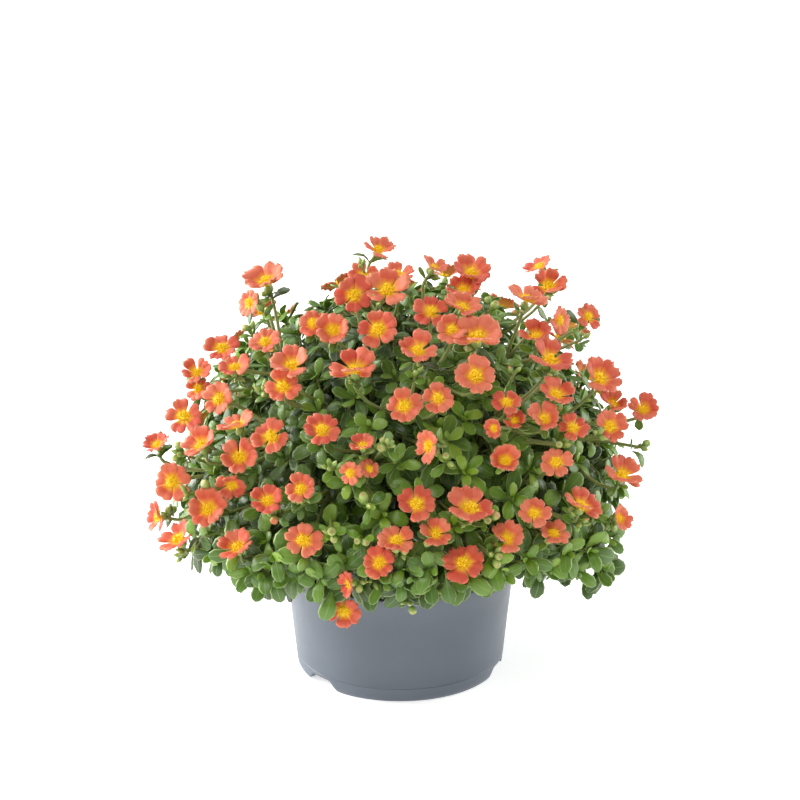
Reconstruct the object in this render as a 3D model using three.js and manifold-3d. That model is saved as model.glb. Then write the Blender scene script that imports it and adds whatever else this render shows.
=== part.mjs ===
// A low pot of portulaca. Leafy stems stand in the compost and arch out into a mound, and each one
// carries a spray of five-petalled blooms. Millimetres, Z up, with the front of the mound at -Y.
import * as THREE from "three";
import { mergeVertices } from "three/addons/utils/BufferGeometryUtils.js";
import Module from "manifold-3d";

const wasm = await Module();
wasm.setup();

// Pot
const footRadius = 79.5;
const baseRadius = 83;
const wallTopRadius = 91.8;
const rimRadius = 95;
const rimDepth = 11;
const potHeight = 92;
const wall = 1.8;
const floorHeight = 10;
const cornerRise = 7;
const footWidth = 3.4;
const footGapAngles = [-49, 71, 191];
const footGapWidth = 26;
const footGapShoulder = 9;
const footGapHeight = 9;
const drainHoles = 6;
const drainRing = 48;
const drainRadius = 4;
const potSides = 32;

// Compost
const compostTop = 83;
const compostSides = 20;
const fit = 0.3;

// Stems, stalks and leaves
const stemCount = 28;
const stemRadius = 1.7;
const stemDepth = 11;
const crownRadius = 60;
const stemReach = 0.66;
const kneeShare = 0.45;
const kneeRise = 14;
const lowestEnd = 31;
const shootLattice = 70;
const topSpacing = 44;
const footSpacing = 62;
const shootTurn = 4;
const highestShoot = 1;
const lowestShoot = -0.8;
const highShootReach = 0.77;
const lowShootReach = 0.91;
const shootRadius = 1.1;
const shootTries = 24;
const leafLength = 28;
const leafWidth = 20;
const leafThickness = 1.8;
const leafLift = 0.45;
const leafTop = 0.56;
const tuftShares = [0.5, 0.3, 0.7];
const tuftSizes = [48, 42, 36, 30];
const tuftCore = 0.42;
const budHeight = 3;
const budRadius = 2.4;
const budSeat = 0.4;
const stalkRadius = 0.95;
const peduncleRadius = 2.1;
const peduncleStart = 2.6;
const stalkSpacing = 2.3;
const goldenAngle = Math.PI * (3 - Math.sqrt(5));

// Half of a leaf's outline, from its root: the share of its length and of its width, and the height.
const leafOutline = [[0.6, 0.5, 0.8], [1, 0.24, 1.6]];

// The rim of one petal: degrees from its middle, then the reach and the lift as shares of the radius.
const petalRim = [[-36, 0.62, 0.05], [-19, 1, 0.16], [19, 1, 0.16]];
const bloomDip = 0.09;
const calyxDepth = 0.1;

// Mound: half an ellipsoid above its widest level and a flatter half below it
const moundLevel = 165;
const moundRadius = 205;
const moundRise = 190;
const moundDrop = 105;

// The front of the mound is laid out on a square grid, as seen by an eye in front of it. The pot's
// axis meets the ground at gridBase, and one step of the grid spans gridStep there.
const eye = new THREE.Vector3(0, -2000, 932.6);
const gridBase = [400, 658];
const gridMiddle = 400;
const gridStep = 0.81;

// Blooms on the front: column, row, width and height on the grid. Where it isn't plain from those,
// the way that the bloom leans follows (degrees, 0 right, 90 up), then how far in it sits.
const frontBlooms = [
  [267, 284, 52, 32], [250, 303, 24, 32, 170], [222, 349, 39, 30], [265, 343, 37, 28],
  [313, 323, 33, 29], [378, 251, 36, 18, 60], [354, 295, 44, 46], [364, 277, 38, 28, 90, 24],
  [387, 291, 52, 37], [399, 276, 36, 20, 90, 12], [433, 269, 36, 18, 60], [470, 275, 45, 32],
  [431, 312, 41, 31], [462, 309, 42, 28], [463, 291, 38, 24, 90, 14], [334, 331, 39, 37],
  [378, 330, 46, 41], [418, 352, 43, 29], [452, 331, 40, 33], [477, 339, 56, 41],
  [548, 287, 43, 35], [540, 268, 34, 14, 120, 14], [526, 301, 46, 21], [559, 320, 23, 30, 10],
  [588, 317, 30, 22, 45], [549, 361, 55, 30], [536, 338, 38, 24, 90, 22], [197, 373, 35, 26],
  [235, 368, 35, 25], [292, 367, 45, 28], [283, 387, 40, 32], [219, 399, 34, 40],
  [198, 389, 30, 26, 120, 14], [184, 417, 45, 37], [238, 427, 46, 18], [271, 437, 43, 37],
  [202, 447, 44, 28], [239, 458, 47, 44], [158, 446, 33, 20, 110], [172, 482, 41, 40, 200],
  [232, 484, 36, 28, 270, 22], [322, 431, 45, 37], [355, 371, 50, 33], [404, 407, 41, 42],
  [438, 399, 38, 34], [475, 377, 49, 39], [430, 446, 26, 38, 180], [363, 447, 32, 22],
  [350, 473, 24, 27, 180], [369, 469, 24, 19, 20, 8], [598, 379, 48, 33], [643, 410, 36, 32],
  [507, 403, 33, 25], [495, 428, 22, 26, 180], [514, 421, 26, 22, 60, 6], [556, 396, 41, 25],
  [544, 420, 38, 32], [573, 428, 36, 29], [609, 427, 40, 35], [612, 405, 34, 24, 60, 12],
  [505, 462, 37, 36], [556, 462, 35, 36], [622, 476, 44, 32], [208, 510, 43, 42],
  [160, 517, 20, 37, 175], [180, 540, 47, 24], [238, 548, 44, 27], [268, 501, 38, 32],
  [301, 490, 38, 34], [303, 541, 41, 43], [416, 505, 46, 39], [436, 534, 38, 33],
  [470, 510, 56, 41], [396, 541, 39, 30], [379, 563, 38, 39], [463, 564, 47, 39],
  [351, 584, 20, 35, 195], [344, 611, 38, 37, 300], [507, 540, 40, 31], [534, 514, 37, 31],
  [553, 534, 38, 32], [581, 507, 48, 27], [618, 519, 21, 30, 0],
];
const bloomLattice = 80;
const lowestBackBloom = -0.35;
const backBloomRadius = 17;
const crestStart = 0.17;
const crestWidth = 0.45;
const crestSink = 0.16;

// Leaf whorls that hang over the rim and along the foot of the mound, on the same grid.
const fringe = [
  [325, 592], [372, 588], [418, 584], [462, 580], [502, 574], [286, 575], [249, 570], [212, 555],
  [542, 570], [584, 576], [614, 556],
];
const fringeGap = 15;

// Repeatable scatter between 0 and 1 for a place in the plant.
function scatter(kind, index, step = 0) {
  const value = Math.sin(kind * 127.1 + index * 311.7 + step * 74.7) * 43758.5453;
  return value - Math.floor(value);
}

function degrees(angle) {
  return THREE.MathUtils.degToRad(angle);
}

function mix(from, to, share) {
  return from.clone().lerp(to, share);
}

// Solids

function solid(vertProperties, triVerts) {
  return new wasm.Manifold(
    new wasm.Mesh({
      numProp: 3,
      vertProperties: new Float32Array(vertProperties),
      triVerts: new Uint32Array(triVerts),
    }),
  );
}

function solidOf(geometry) {
  const bare = geometry.clone();
  bare.deleteAttribute("normal");
  bare.deleteAttribute("uv");
  const merged = mergeVertices(bare, 1e-4);
  return solid(merged.attributes.position.array, merged.index.array);
}

function geometryOf(body) {
  const mesh = body.getMesh();
  const geometry = new THREE.BufferGeometry();
  geometry.setAttribute("position", new THREE.BufferAttribute(mesh.vertProperties, 3));
  geometry.setIndex(new THREE.BufferAttribute(mesh.triVerts, 1));
  geometry.computeVertexNormals();
  return geometry;
}

// Neighbours in a list.
function pairs(list) {
  return list.slice(1).map((item, i) => [list[i], item]);
}

// The four-sided strips across a blade's outline, from its root to its tip.
function strips(edge) {
  const count = edge.length / 2 - 1;
  return Array.from({ length: count }, (_, i) => {
    return [edge[i], edge[i + 1], edge[edge.length - 2 - i], edge[edge.length - 1 - i]];
  });
}

// A solid limb with flat ends that runs through a list of points.
function limb(points, radius, endRadius, sides) {
  const rings = points.map((point, i) => {
    const ahead = points[Math.min(i + 1, points.length - 1)];
    const behind = points[Math.max(i - 1, 0)];
    const along = ahead.clone().sub(behind).normalize();
    const across = new THREE.Vector3(-along.y, along.x, 0);
    if (across.length() < 0.01) across.set(1, 0, 0);
    across.normalize();
    const up = along.clone().cross(across);
    const size = THREE.MathUtils.lerp(radius, endRadius, i / (points.length - 1));
    return Array.from({ length: sides }, (_, k) => {
      const turn = (2 * Math.PI * k) / sides;
      return point
        .clone()
        .addScaledVector(across, size * Math.cos(turn))
        .addScaledVector(up, size * Math.sin(turn));
    });
  });
  const faces = [];
  for (let k = 1; k < sides - 1; k++) faces.push(0, k + 1, k);
  for (let i = 0; i < points.length - 1; i++) {
    for (let k = 0; k < sides; k++) {
      const a = i * sides + k;
      const b = i * sides + ((k + 1) % sides);
      faces.push(a, b, b + sides, a, b + sides, a + sides);
    }
  }
  const end = (points.length - 1) * sides;
  for (let k = 1; k < sides - 1; k++) faces.push(end, end + k, end + k + 1);
  return solid(rings.flat().flatMap((point) => point.toArray()), faces);
}

// Places a shape made round the origin: its X along one direction, its Z as near as can be to another.
function frameAt(origin, along, outward) {
  const x = along.clone().normalize();
  const y = outward.clone().cross(x).normalize();
  const z = x.clone().cross(y);
  return new THREE.Matrix4().makeBasis(x, y, z).setPosition(origin);
}

// Pot and compost

function lathe(profile, sides) {
  const points = profile.map(([radius, height]) => new THREE.Vector2(radius, height));
  return solidOf(new THREE.LatheGeometry(points, sides).rotateX(Math.PI / 2));
}

function outerRadius(height) {
  return baseRadius + ((wallTopRadius - baseRadius) * (height - cornerRise)) / (potHeight - cornerRise);
}

function corner(steps) {
  return Array.from({ length: steps + 1 }, (_, i) => {
    const turn = (Math.PI / 2) * (i / steps);
    return [
      footRadius + (baseRadius - footRadius) * Math.sin(turn),
      cornerRise * (1 - Math.cos(turn)),
    ];
  });
}

function footGap(angle) {
  const half = footGapWidth / 2;
  const outer = half + footGapShoulder;
  const arch = new THREE.Shape();
  arch.moveTo(-outer, -2);
  arch.lineTo(outer, -2);
  arch.lineTo(outer, 0);
  arch.bezierCurveTo(half + 1, 0, half + 1, footGapHeight, half - 5, footGapHeight);
  arch.lineTo(5 - half, footGapHeight);
  arch.bezierCurveTo(-half - 1, footGapHeight, -half - 1, 0, -outer, 0);
  const inner = footRadius - footWidth - 8;
  const geometry = new THREE.ExtrudeGeometry(arch, { depth: 20, bevelEnabled: false, curveSegments: 4 });
  geometry.rotateX(Math.PI / 2).translate(0, -inner, 0).rotateZ(degrees(angle));
  return solidOf(geometry);
}

function pot() {
  const lip = potHeight - rimDepth;
  const inside = footRadius - footWidth;
  const profile = [
    [0, floorHeight],
    [inside - 1.5, floorHeight],
    [inside, floorHeight - 1.5],
    [inside, 0],
    ...corner(2),
    [outerRadius(lip), lip],
    [rimRadius, lip + 0.6],
    [rimRadius, potHeight - 1],
    [rimRadius - 1, potHeight],
    [outerRadius(potHeight) - wall + 0.6, potHeight],
    [outerRadius(potHeight) - wall, potHeight - 0.8],
    [outerRadius(floorHeight + wall) - wall, floorHeight + wall],
    [0, floorHeight + wall],
  ];
  let body = lathe(profile, potSides);
  for (const angle of footGapAngles) body = body.subtract(footGap(angle));
  for (let i = 0; i < drainHoles; i++) {
    const hole = new THREE.CylinderGeometry(drainRadius, drainRadius, 3 * wall, 6).rotateX(Math.PI / 2);
    hole.translate(drainRing, 0, floorHeight + wall / 2).rotateZ((2 * Math.PI * (i + 0.5)) / drainHoles);
    body = body.subtract(solidOf(hole));
  }
  return body;
}

function compost(stems) {
  const low = floorHeight + wall + fit;
  const profile = [
    [0, low],
    [outerRadius(low) - wall - 1.5 * fit, low],
    [outerRadius(compostTop) - wall - 1.5 * fit, compostTop],
    [crownRadius + 8, compostTop + 1.5],
    [0, compostTop - 1],
  ];
  let body = lathe(profile, compostSides);
  for (const stem of stems) {
    const hole = new THREE.CylinderGeometry(1.5 * stemRadius, 1.5 * stemRadius, 30, 4);
    hole.rotateX(Math.PI / 2).translate(stem.foot.x, stem.foot.y, compostTop - stemDepth - fit + 15);
    body = body.subtract(solidOf(hole));
  }
  return body;
}

// Layout of the mound

// How far out a point lies: 1 on the surface of the mound.
function moundDepth(point) {
  const height = point.z - moundLevel;
  const reach = height > 0 ? moundRise : moundDrop;
  return Math.hypot(point.x / moundRadius, point.y / moundRadius, height / reach);
}

// A point of the mound: the share of the way to its top or bottom, the turn from the front and the
// share of the way out to its surface.
function moundPoint(climb, turn, share) {
  const flat = Math.sqrt(1 - climb * climb) * moundRadius * share;
  const rise = climb * (climb > 0 ? moundRise : moundDrop) * share;
  return new THREE.Vector3(flat * Math.sin(turn), -flat * Math.cos(turn), moundLevel + rise);
}

function moundNormal(point) {
  const reach = point.z > moundLevel ? moundRise : moundDrop;
  return new THREE.Vector3(
    point.x / moundRadius ** 2,
    point.y / moundRadius ** 2,
    (point.z - moundLevel) / reach ** 2,
  ).normalize();
}

const gridFocus = (() => {
  const reach = eye.length();
  let focus = reach / gridStep;
  for (let i = 0; i < 9; i++) {
    focus = (reach * Math.cos(Math.atan((gridBase[1] - gridMiddle) / focus))) / gridStep;
  }
  return focus;
})();
const eyePitch = Math.atan2(eye.z, -eye.y) - Math.atan((gridBase[1] - gridMiddle) / gridFocus);
const eyeForward = new THREE.Vector3(0, Math.cos(eyePitch), -Math.sin(eyePitch));
const eyeUp = new THREE.Vector3(0, Math.sin(eyePitch), Math.cos(eyePitch));
const eyeRight = new THREE.Vector3(1, 0, 0);

function sightLine(column, row) {
  return eyeForward
    .clone()
    .multiplyScalar(gridFocus)
    .addScaledVector(eyeRight, column - gridMiddle)
    .addScaledVector(eyeUp, gridMiddle - row)
    .normalize();
}

// The point where a sight line first meets the mound, or comes nearest to it.
function moundHit(column, row) {
  const sight = sightLine(column, row);
  const start = eye.length() - 320;
  let best = null;
  for (let reach = start; reach < start + 640; reach += 1) {
    const point = eye.clone().addScaledVector(sight, reach);
    const depth = moundDepth(point);
    if (!best || depth < best.depth) best = { point, depth };
    if (depth <= 1) break;
  }
  return best.point;
}

function frontBloom([column, row, width, height, lean, inset = 0]) {
  const sight = sightLine(column, row);
  const centre = moundHit(column, row).addScaledVector(sight, inset);
  const scale = centre.clone().sub(eye).dot(eyeForward) / gridFocus;
  const sideways = column < gridBase[0] ? 165 : 15;
  const upward = 90 + (gridBase[0] - column) * 0.14;
  const way = degrees(lean ?? (width < height * 0.93 ? sideways : upward));
  const roundness = Math.min(width, height) / Math.max(width, height);
  const tilt = Math.acos(THREE.MathUtils.clamp(roundness, 0.3, 0.96));
  const facing = sight
    .clone()
    .negate()
    .multiplyScalar(Math.cos(tilt))
    .addScaledVector(eyeRight, Math.sin(tilt) * Math.cos(way))
    .addScaledVector(eyeUp, Math.sin(tilt) * Math.sin(way));
  return { centre, facing: facing.normalize(), radius: (Math.max(width, height) / 2) * scale };
}

// Blooms on the far side, which face out and a little up. Those close behind the crest sit lower.
function backBlooms() {
  const blooms = [];
  for (let i = 0; i < bloomLattice; i++) {
    const climb = THREE.MathUtils.lerp(highestShoot, lowestBackBloom, (i + 0.5) / bloomLattice);
    const turn = goldenAngle * i + 0.3 * (scatter(1, i) - 0.5);
    const spot = moundPoint(climb, turn, 1);
    const seen = moundNormal(spot).dot(eye.clone().sub(spot).normalize());
    if (seen > -crestStart) continue;
    const sink = seen > -crestWidth ? crestSink : 0;
    const centre = moundPoint(climb, turn, 1.01 - 0.05 * scatter(2, i) - sink);
    const facing = moundNormal(centre).add(new THREE.Vector3(0, 0, 0.4)).normalize();
    blooms.push({ centre, facing, radius: backBloomRadius * (0.88 + 0.24 * scatter(3, i)) });
  }
  return blooms;
}

// The middles of the sprays: each is drawn to the middle of the blooms that are nearest to it.
function sprayMiddles(blooms) {
  let ends = Array.from({ length: stemCount }, (_, i) => {
    return blooms[Math.floor(((i + 0.5) * blooms.length) / stemCount)].centre.clone();
  });
  for (let round = 0; round < 12; round++) {
    const groups = ends.map(() => []);
    for (const { centre } of blooms) groups[nearest(ends, centre)].push(centre);
    ends = ends.map((end, i) => {
      const middle = groups[i].reduce((sum, centre) => sum.add(centre), end.clone());
      return middle.divideScalar(groups[i].length + 1);
    });
  }
  return ends;
}

// Each stem stands in the compost below its end, nearer the rim the lower it reaches, so that none
// cross.
function stemLayout(blooms) {
  return sprayMiddles(blooms).map((middle) => {
    const axis = new THREE.Vector3(0, 0, moundLevel);
    const end = mix(axis, middle, stemReach);
    end.z = Math.max(end.z, compostTop + lowestEnd);
    const turn = Math.atan2(end.x, -end.y);
    const climb = (end.z - moundLevel) / (stemReach * moundRise);
    const spread = THREE.MathUtils.clamp((1 - climb) / 1.45, 0.02, 1);
    const out = crownRadius * Math.sqrt(spread);
    const foot = moundPoint(0, turn, out / moundRadius).setZ(compostTop - stemDepth);
    const knee = mix(foot, end, kneeShare);
    knee.z = Math.max(knee.z + kneeRise * spread, compostTop + lowestEnd);
    const neck = foot.clone().setZ(compostTop + 6);
    const curve = new THREE.CatmullRomCurve3([foot, neck, knee, end], false, "centripetal");
    const points = [foot, neck, knee, curve.getPoint(0.84), end];
    return { foot, middle, end, points, heading: end.clone().sub(points[3]).normalize() };
  });
}

function nearest(points, point) {
  const distances = points.map((other) => other.distanceTo(point));
  return distances.indexOf(Math.min(...distances));
}

function nearestStem(stems, point) {
  return nearest(stems.map((stem) => stem.middle), point);
}

// The way that leaves face: out and a little up, even on the underside of the mound.
function leafFacing(point) {
  const normal = moundNormal(point);
  return normal.setZ(Math.max(normal.z, -0.3) + 0.25).normalize();
}

// A point over the rim in front of the pot, or on the foot of the mound beside it.
function fringePoint([column, row]) {
  const sight = sightLine(column, row);
  const start = eye.length() - 350;
  for (let reach = start; reach < start + 700; reach += 1) {
    const point = eye.clone().addScaledVector(sight, reach);
    if (Math.hypot(point.x, point.y) < rimRadius + fringeGap || moundDepth(point) < 0.97) return point;
  }
  return moundHit(column, row);
}

// Parts of the plant. Each takes a margin, so that the same shape can be tested with air round it.

// A shoot with a whorl of leaves round its tip, in one skin: a four-sided stalk that opens into a
// spoon-shaped blade on each side, with a bud in the middle.
function sprigAt({ start, tip, outward, turn, size, seed }, margin = 0) {
  const side = new THREE.Vector3(-outward.y, outward.x, 0.01);
  const face = frameAt(tip, side, outward);
  const corner = (k, out, height) => {
    const angle = turn + (Math.PI / 2) * (k - 0.5);
    return new THREE.Vector3(out * Math.cos(angle), out * Math.sin(angle), height);
  };
  const points = [new THREE.Vector3(0, 0, budHeight + margin)];
  const corners = [0, 1, 2, 3];
  const valley = corners.map((k) => points.push(corner(k, budRadius + margin, budSeat)) - 1);
  const neck = corners.map((k) => points.push(corner(k, shootRadius + margin, -2 - margin)) - 1);
  const faces = [];
  for (const k of corners) {
    const angle = turn + (Math.PI / 2) * k;
    const lift = leafLift * (0.4 + 1.2 * scatter(6, seed, k));
    const grown = size * (0.8 + 0.4 * scatter(7, seed, k));
    const flat = Math.cos(lift);
    const along = new THREE.Vector3(Math.cos(angle) * flat, Math.sin(angle) * flat, Math.sin(lift));
    const across = new THREE.Vector3(-Math.sin(angle), Math.cos(angle), 0);
    const above = along.clone().cross(across);
    const at = (x, y, z) => {
      const point = along.clone().multiplyScalar(x * leafLength * grown);
      point.addScaledVector(across, y * leafWidth * grown).addScaledVector(above, z);
      return points.push(point) - 1;
    };
    const air = margin / (leafWidth * grown);
    const rim = [
      ...leafOutline.map(([x, y, z]) => at(x * (1 + air), -y - air, z)),
      ...leafOutline.toReversed().map(([x, y, z]) => at(x * (1 + air), y + air, z)),
    ];
    const top = at(leafTop, 0, leafThickness + 2 * margin);
    const next = (k + 1) % 4;
    const edge = [valley[k], ...rim, valley[next]];
    for (const [a, b] of pairs([0, ...edge, 0])) faces.push(top, a, b);
    const under = [neck[k], ...edge, neck[next]];
    for (const [a, b, c, d] of strips(under)) faces.push(a, c, b, a, d, c);
  }
  for (const point of points) point.applyMatrix4(face);
  const swing = new THREE.Quaternion().setFromUnitVectors(outward, tip.clone().sub(start).normalize());
  const foot = corners.map((k) => {
    const spoke = corner(k, 1, 0).transformDirection(face).applyQuaternion(swing);
    return points.push(start.clone().addScaledVector(spoke, shootRadius + margin)) - 1;
  });
  for (const k of corners) {
    const next = (k + 1) % 4;
    faces.push(neck[k], foot[k], neck[next], neck[next], foot[k], foot[next]);
  }
  faces.push(foot[0], foot[2], foot[1], foot[0], foot[3], foot[2]);
  return solid(points.flatMap((point) => point.toArray()), faces);
}

// The dense young growth round the upper part of a stem, which its whorls stand out of: a knot with
// one pointed leaf over each face of a small octahedron.
function tuftAt({ points, end }, share, size, seed) {
  const middle = mix(points[2], end, share);
  const lie = new THREE.Euler(3 * scatter(9, seed), 3 * scatter(10, seed), 0);
  const at = (x, y, z, reach) => {
    return new THREE.Vector3(x, y, z).setLength(reach).applyEuler(lie).add(middle).toArray();
  };
  const axes = [[1, 0, 0], [0, 1, 0], [0, 0, 1], [-1, 0, 0], [0, -1, 0], [0, 0, -1]];
  const corners = axes.map((axis) => at(...axis, tuftCore * size));
  const faces = [];
  for (let k = 0; k < 8; k++) {
    const [x, y, z] = [k & 1, (k >> 1) & 1, (k >> 2) & 1];
    corners.push(at(1 - 2 * x, 1 - 2 * y, 1 - 2 * z, size * (0.8 + 0.3 * scatter(11, k, seed))));
    const round = [3 * x, 1 + 3 * y, 2 + 3 * z];
    if ((x + y + z) % 2) round.reverse();
    for (let i = 0; i < 3; i++) faces.push(round[i], round[(i + 1) % 3], 6 + k);
  }
  return solid(corners.flat(), faces);
}

// A bloom on its stalk, in one skin. Five broad petals make a shallow cup: the rim runs from each
// valley over the two corners of the next petal, and the underside closes on the stalk.
function flowerAt({ centre, facing, radius }, base, turn, margin = 0) {
  const reach = centre.distanceTo(base);
  const bend = centre.clone().addScaledVector(facing, -0.3 * reach);
  const neck = centre.clone().addScaledVector(facing, -calyxDepth * radius - margin);
  const side = Math.abs(facing.z) > 0.9 ? eyeRight : new THREE.Vector3(0, 0, 1);
  const face = frameAt(centre, side.clone().cross(facing), facing);
  const rim = [];
  for (let petal = 0; petal < 5; petal++) {
    const middle = (2 * Math.PI * petal) / 5 + turn;
    for (const [step, share, lift] of petalRim) {
      const angle = middle + degrees(step);
      const out = radius * share + margin;
      rim.push(new THREE.Vector3(out * Math.cos(angle), out * Math.sin(angle), radius * lift));
    }
  }
  const above = new THREE.Vector3(0, 0, bloomDip * radius + margin);
  for (const point of [...rim, above]) point.applyMatrix4(face);
  const ring = (point, heading, size) => {
    const swing = new THREE.Quaternion().setFromUnitVectors(facing, heading);
    return [0, 1, 2].map((k) => {
      const angle = turn + degrees(120 * k + 24);
      const spoke = new THREE.Vector3(Math.cos(angle), Math.sin(angle), 0).transformDirection(face);
      return point.clone().addScaledVector(spoke.applyQuaternion(swing), size + margin);
    });
  };
  const first = bend.clone().sub(base).normalize();
  const second = neck.clone().sub(bend).normalize();
  const rings = [
    ...ring(neck, facing, 1.15 * stalkRadius),
    ...ring(bend, first.clone().add(second).normalize(), stalkRadius),
    ...ring(base, first, 1.1 * stalkRadius),
  ];
  const points = [...rim, above, ...rings].flatMap((point) => point.toArray());
  const count = rim.length;
  const top = count;
  const faces = rim.flatMap((_, i) => [top, i, (i + 1) % count]);
  for (let k = 0; k < 3; k++) {
    const here = top + 1 + k;
    const next = top + 1 + ((k + 1) % 3);
    for (let i = 5 * k; i < 5 * k + 5; i++) faces.push(here, (i + 1) % count, i);
    faces.push(here, next, (5 * k + 5) % count);
    faces.push(here, here + 3, next, next, here + 3, next + 3);
    faces.push(here + 3, here + 6, next + 3, next + 3, here + 6, next + 6);
  }
  faces.push(top + 7, top + 9, top + 8);
  return solid(points, faces);
}

// A register of everything placed so far, to keep the solids of different nodes apart.
const placed = [];

function boxOf(body) {
  const { min, max } = body.boundingBox();
  return new THREE.Box3(new THREE.Vector3(...min), new THREE.Vector3(...max));
}

function register(owner, body) {
  placed.push({ owner, body, box: boxOf(body) });
  return body;
}

function meets(body, owner) {
  const box = boxOf(body);
  return placed.some(
    (other) =>
      other.owner !== owner && other.box.intersectsBox(box) && !body.intersect(other.body).isEmpty(),
  );
}

function joined(pieces) {
  const whole = pieces.reduce((body, piece) => body.add(piece));
  return whole.decompose().reduce((a, b) => (a.volume() > b.volume() ? a : b));
}

// The plant

const blooms = [...frontBlooms.map(frontBloom), ...backBlooms()];
const stems = stemLayout(blooms);
const potBody = register("pot", pot());
const compostBody = register("compost", compost(stems));
const greens = stems.map(({ points }, i) => {
  return [register("stem" + i, limb(points, stemRadius, 0.88 * stemRadius, 4))];
});
const corals = stems.map(() => []);

function addSprays() {
  const groups = stems.map(() => []);
  for (const bloom of blooms) groups[nearestStem(stems, bloom.centre)].push(bloom);
  groups.forEach((group, i) => {
    const owner = "spray" + i;
    const { end, heading } = stems[i];
    const at = (rise) => end.clone().addScaledVector(heading, rise);
    const ahead = ({ centre }) => centre.clone().sub(end).normalize().dot(heading);
    group.sort((a, b) => ahead(a) - ahead(b));
    const last = peduncleStart + stalkSpacing * (group.length - 1) + 1.2;
    const peduncle = limb([at(fit), at(last)], peduncleRadius, 0.8 * peduncleRadius, 4);
    corals[i].push(register(owner, peduncle));
    group.forEach((bloom, k) => {
      const body = flowerAt(bloom, at(peduncleStart + stalkSpacing * k), scatter(8, k, i) * 1.2);
      corals[i].push(register(owner, body));
    });
  });
}

// Each stem has a shoot straight ahead, some hang over the rim, and more fill the places between.
function shootTips() {
  const axis = new THREE.Vector3(0, 0, moundLevel);
  const tips = stems.map(({ middle }) => mix(axis, middle, highShootReach));
  tips.push(...fringe.map(fringePoint));
  for (let i = 0; i < shootLattice; i++) {
    const down = (i + 0.5) / shootLattice;
    const climb = THREE.MathUtils.lerp(highestShoot, lowestShoot, down);
    const reach = THREE.MathUtils.lerp(highShootReach, lowShootReach, down);
    const spacing = THREE.MathUtils.lerp(topSpacing, footSpacing, down);
    const tip = moundPoint(climb, goldenAngle * i + shootTurn, reach);
    const overRim = tip.z < potHeight + 2 && Math.hypot(tip.x, tip.y) < rimRadius + 12;
    if (!overRim && tips.every((other) => other.distanceTo(tip) > spacing)) tips.push(tip);
  }
  return tips;
}

// Turns and moves a shoot until it is clear of every other stem and spray.
function addShoots() {
  shootTips().forEach((place, index) => {
    const i = nearestStem(stems, place);
    const outward = leafFacing(place);
    const side = new THREE.Vector3(-outward.y, outward.x, 0.01).normalize();
    const start = mix(stems[i].points[2], stems[i].end, 0.25 + 0.6 * scatter(4, index));
    for (let attempt = 0; attempt < shootTries; attempt++) {
      const shift = side.clone().applyAxisAngle(outward, goldenAngle * attempt + index);
      const shoot = {
        start,
        tip: place.clone().addScaledVector(shift, 7 * Math.sqrt(attempt)),
        outward,
        turn: 1.6 * scatter(5, index, attempt),
        size: 1 - 0.01 * attempt,
        seed: index,
      };
      if (meets(sprigAt(shoot, fit), "stem" + i)) continue;
      greens[i].push(register("stem" + i, sprigAt(shoot)));
      return;
    }
  });
}

// Gives each stem the largest knot that is clear of the others.
function addTufts() {
  stems.forEach((stem, i) => {
    const owner = "stem" + i;
    const choices = tuftSizes.flatMap((size) => tuftShares.map((share) => [share, size]));
    const best = choices.find(([share, size]) => !meets(tuftAt(stem, share, size + fit, i), owner));
    if (best) greens[i].push(register(owner, tuftAt(stem, ...best, i)));
  });
}

addSprays();
addShoots();
addTufts();

// Materials

function material(name, color, roughness) {
  const made = new THREE.MeshStandardMaterial({ color, roughness, metalness: 0 });
  made.name = name;
  return made;
}

const potPlastic = material("blue-grey plastic", 0x6e7680, 0.45);
const compostEarth = material("compost", 0x2e2119, 0.95);
const leafGreen = material("leaf green", 0x547a3c, 0.5);
const petalCoral = material("petal coral", 0xe4684e, 0.6);

function node(name, body, look) {
  const mesh = new THREE.Mesh(geometryOf(body), look);
  mesh.name = name;
  return mesh;
}

const plant = new THREE.Group();
plant.add(node("pot", potBody, potPlastic), node("compost", compostBody, compostEarth));
stems.forEach((_, i) => {
  const number = String(i + 1).padStart(2, "0");
  plant.add(node("leafy_stem_" + number, joined(greens[i]), leafGreen));
  plant.add(node("spray_" + number, joined(corals[i]), petalCoral));
});
const reach = new THREE.Box3().setFromObject(plant);
plant.position.set(-(reach.min.x + reach.max.x) / 2, -(reach.min.y + reach.max.y) / 2, 0);
export default plant;
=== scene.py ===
import math
import random
from collections import namedtuple

import bmesh
import bpy
import numpy as np
from mathutils import Matrix, Quaternion, Vector, noise


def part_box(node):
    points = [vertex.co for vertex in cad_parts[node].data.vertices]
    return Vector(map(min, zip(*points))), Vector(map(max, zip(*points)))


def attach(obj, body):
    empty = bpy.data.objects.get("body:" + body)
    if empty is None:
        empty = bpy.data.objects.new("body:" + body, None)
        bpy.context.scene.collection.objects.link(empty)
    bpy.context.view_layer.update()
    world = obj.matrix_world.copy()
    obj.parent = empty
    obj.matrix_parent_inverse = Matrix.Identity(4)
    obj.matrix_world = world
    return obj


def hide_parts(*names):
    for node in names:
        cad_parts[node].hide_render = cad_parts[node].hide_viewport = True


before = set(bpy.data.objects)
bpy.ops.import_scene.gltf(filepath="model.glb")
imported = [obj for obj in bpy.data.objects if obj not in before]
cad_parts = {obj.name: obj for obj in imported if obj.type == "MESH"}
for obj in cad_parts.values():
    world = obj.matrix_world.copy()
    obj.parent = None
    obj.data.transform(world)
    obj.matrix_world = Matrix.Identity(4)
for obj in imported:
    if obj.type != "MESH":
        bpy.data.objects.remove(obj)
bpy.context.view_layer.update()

bpy.ops.object.select_all(action="DESELECT")

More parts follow.
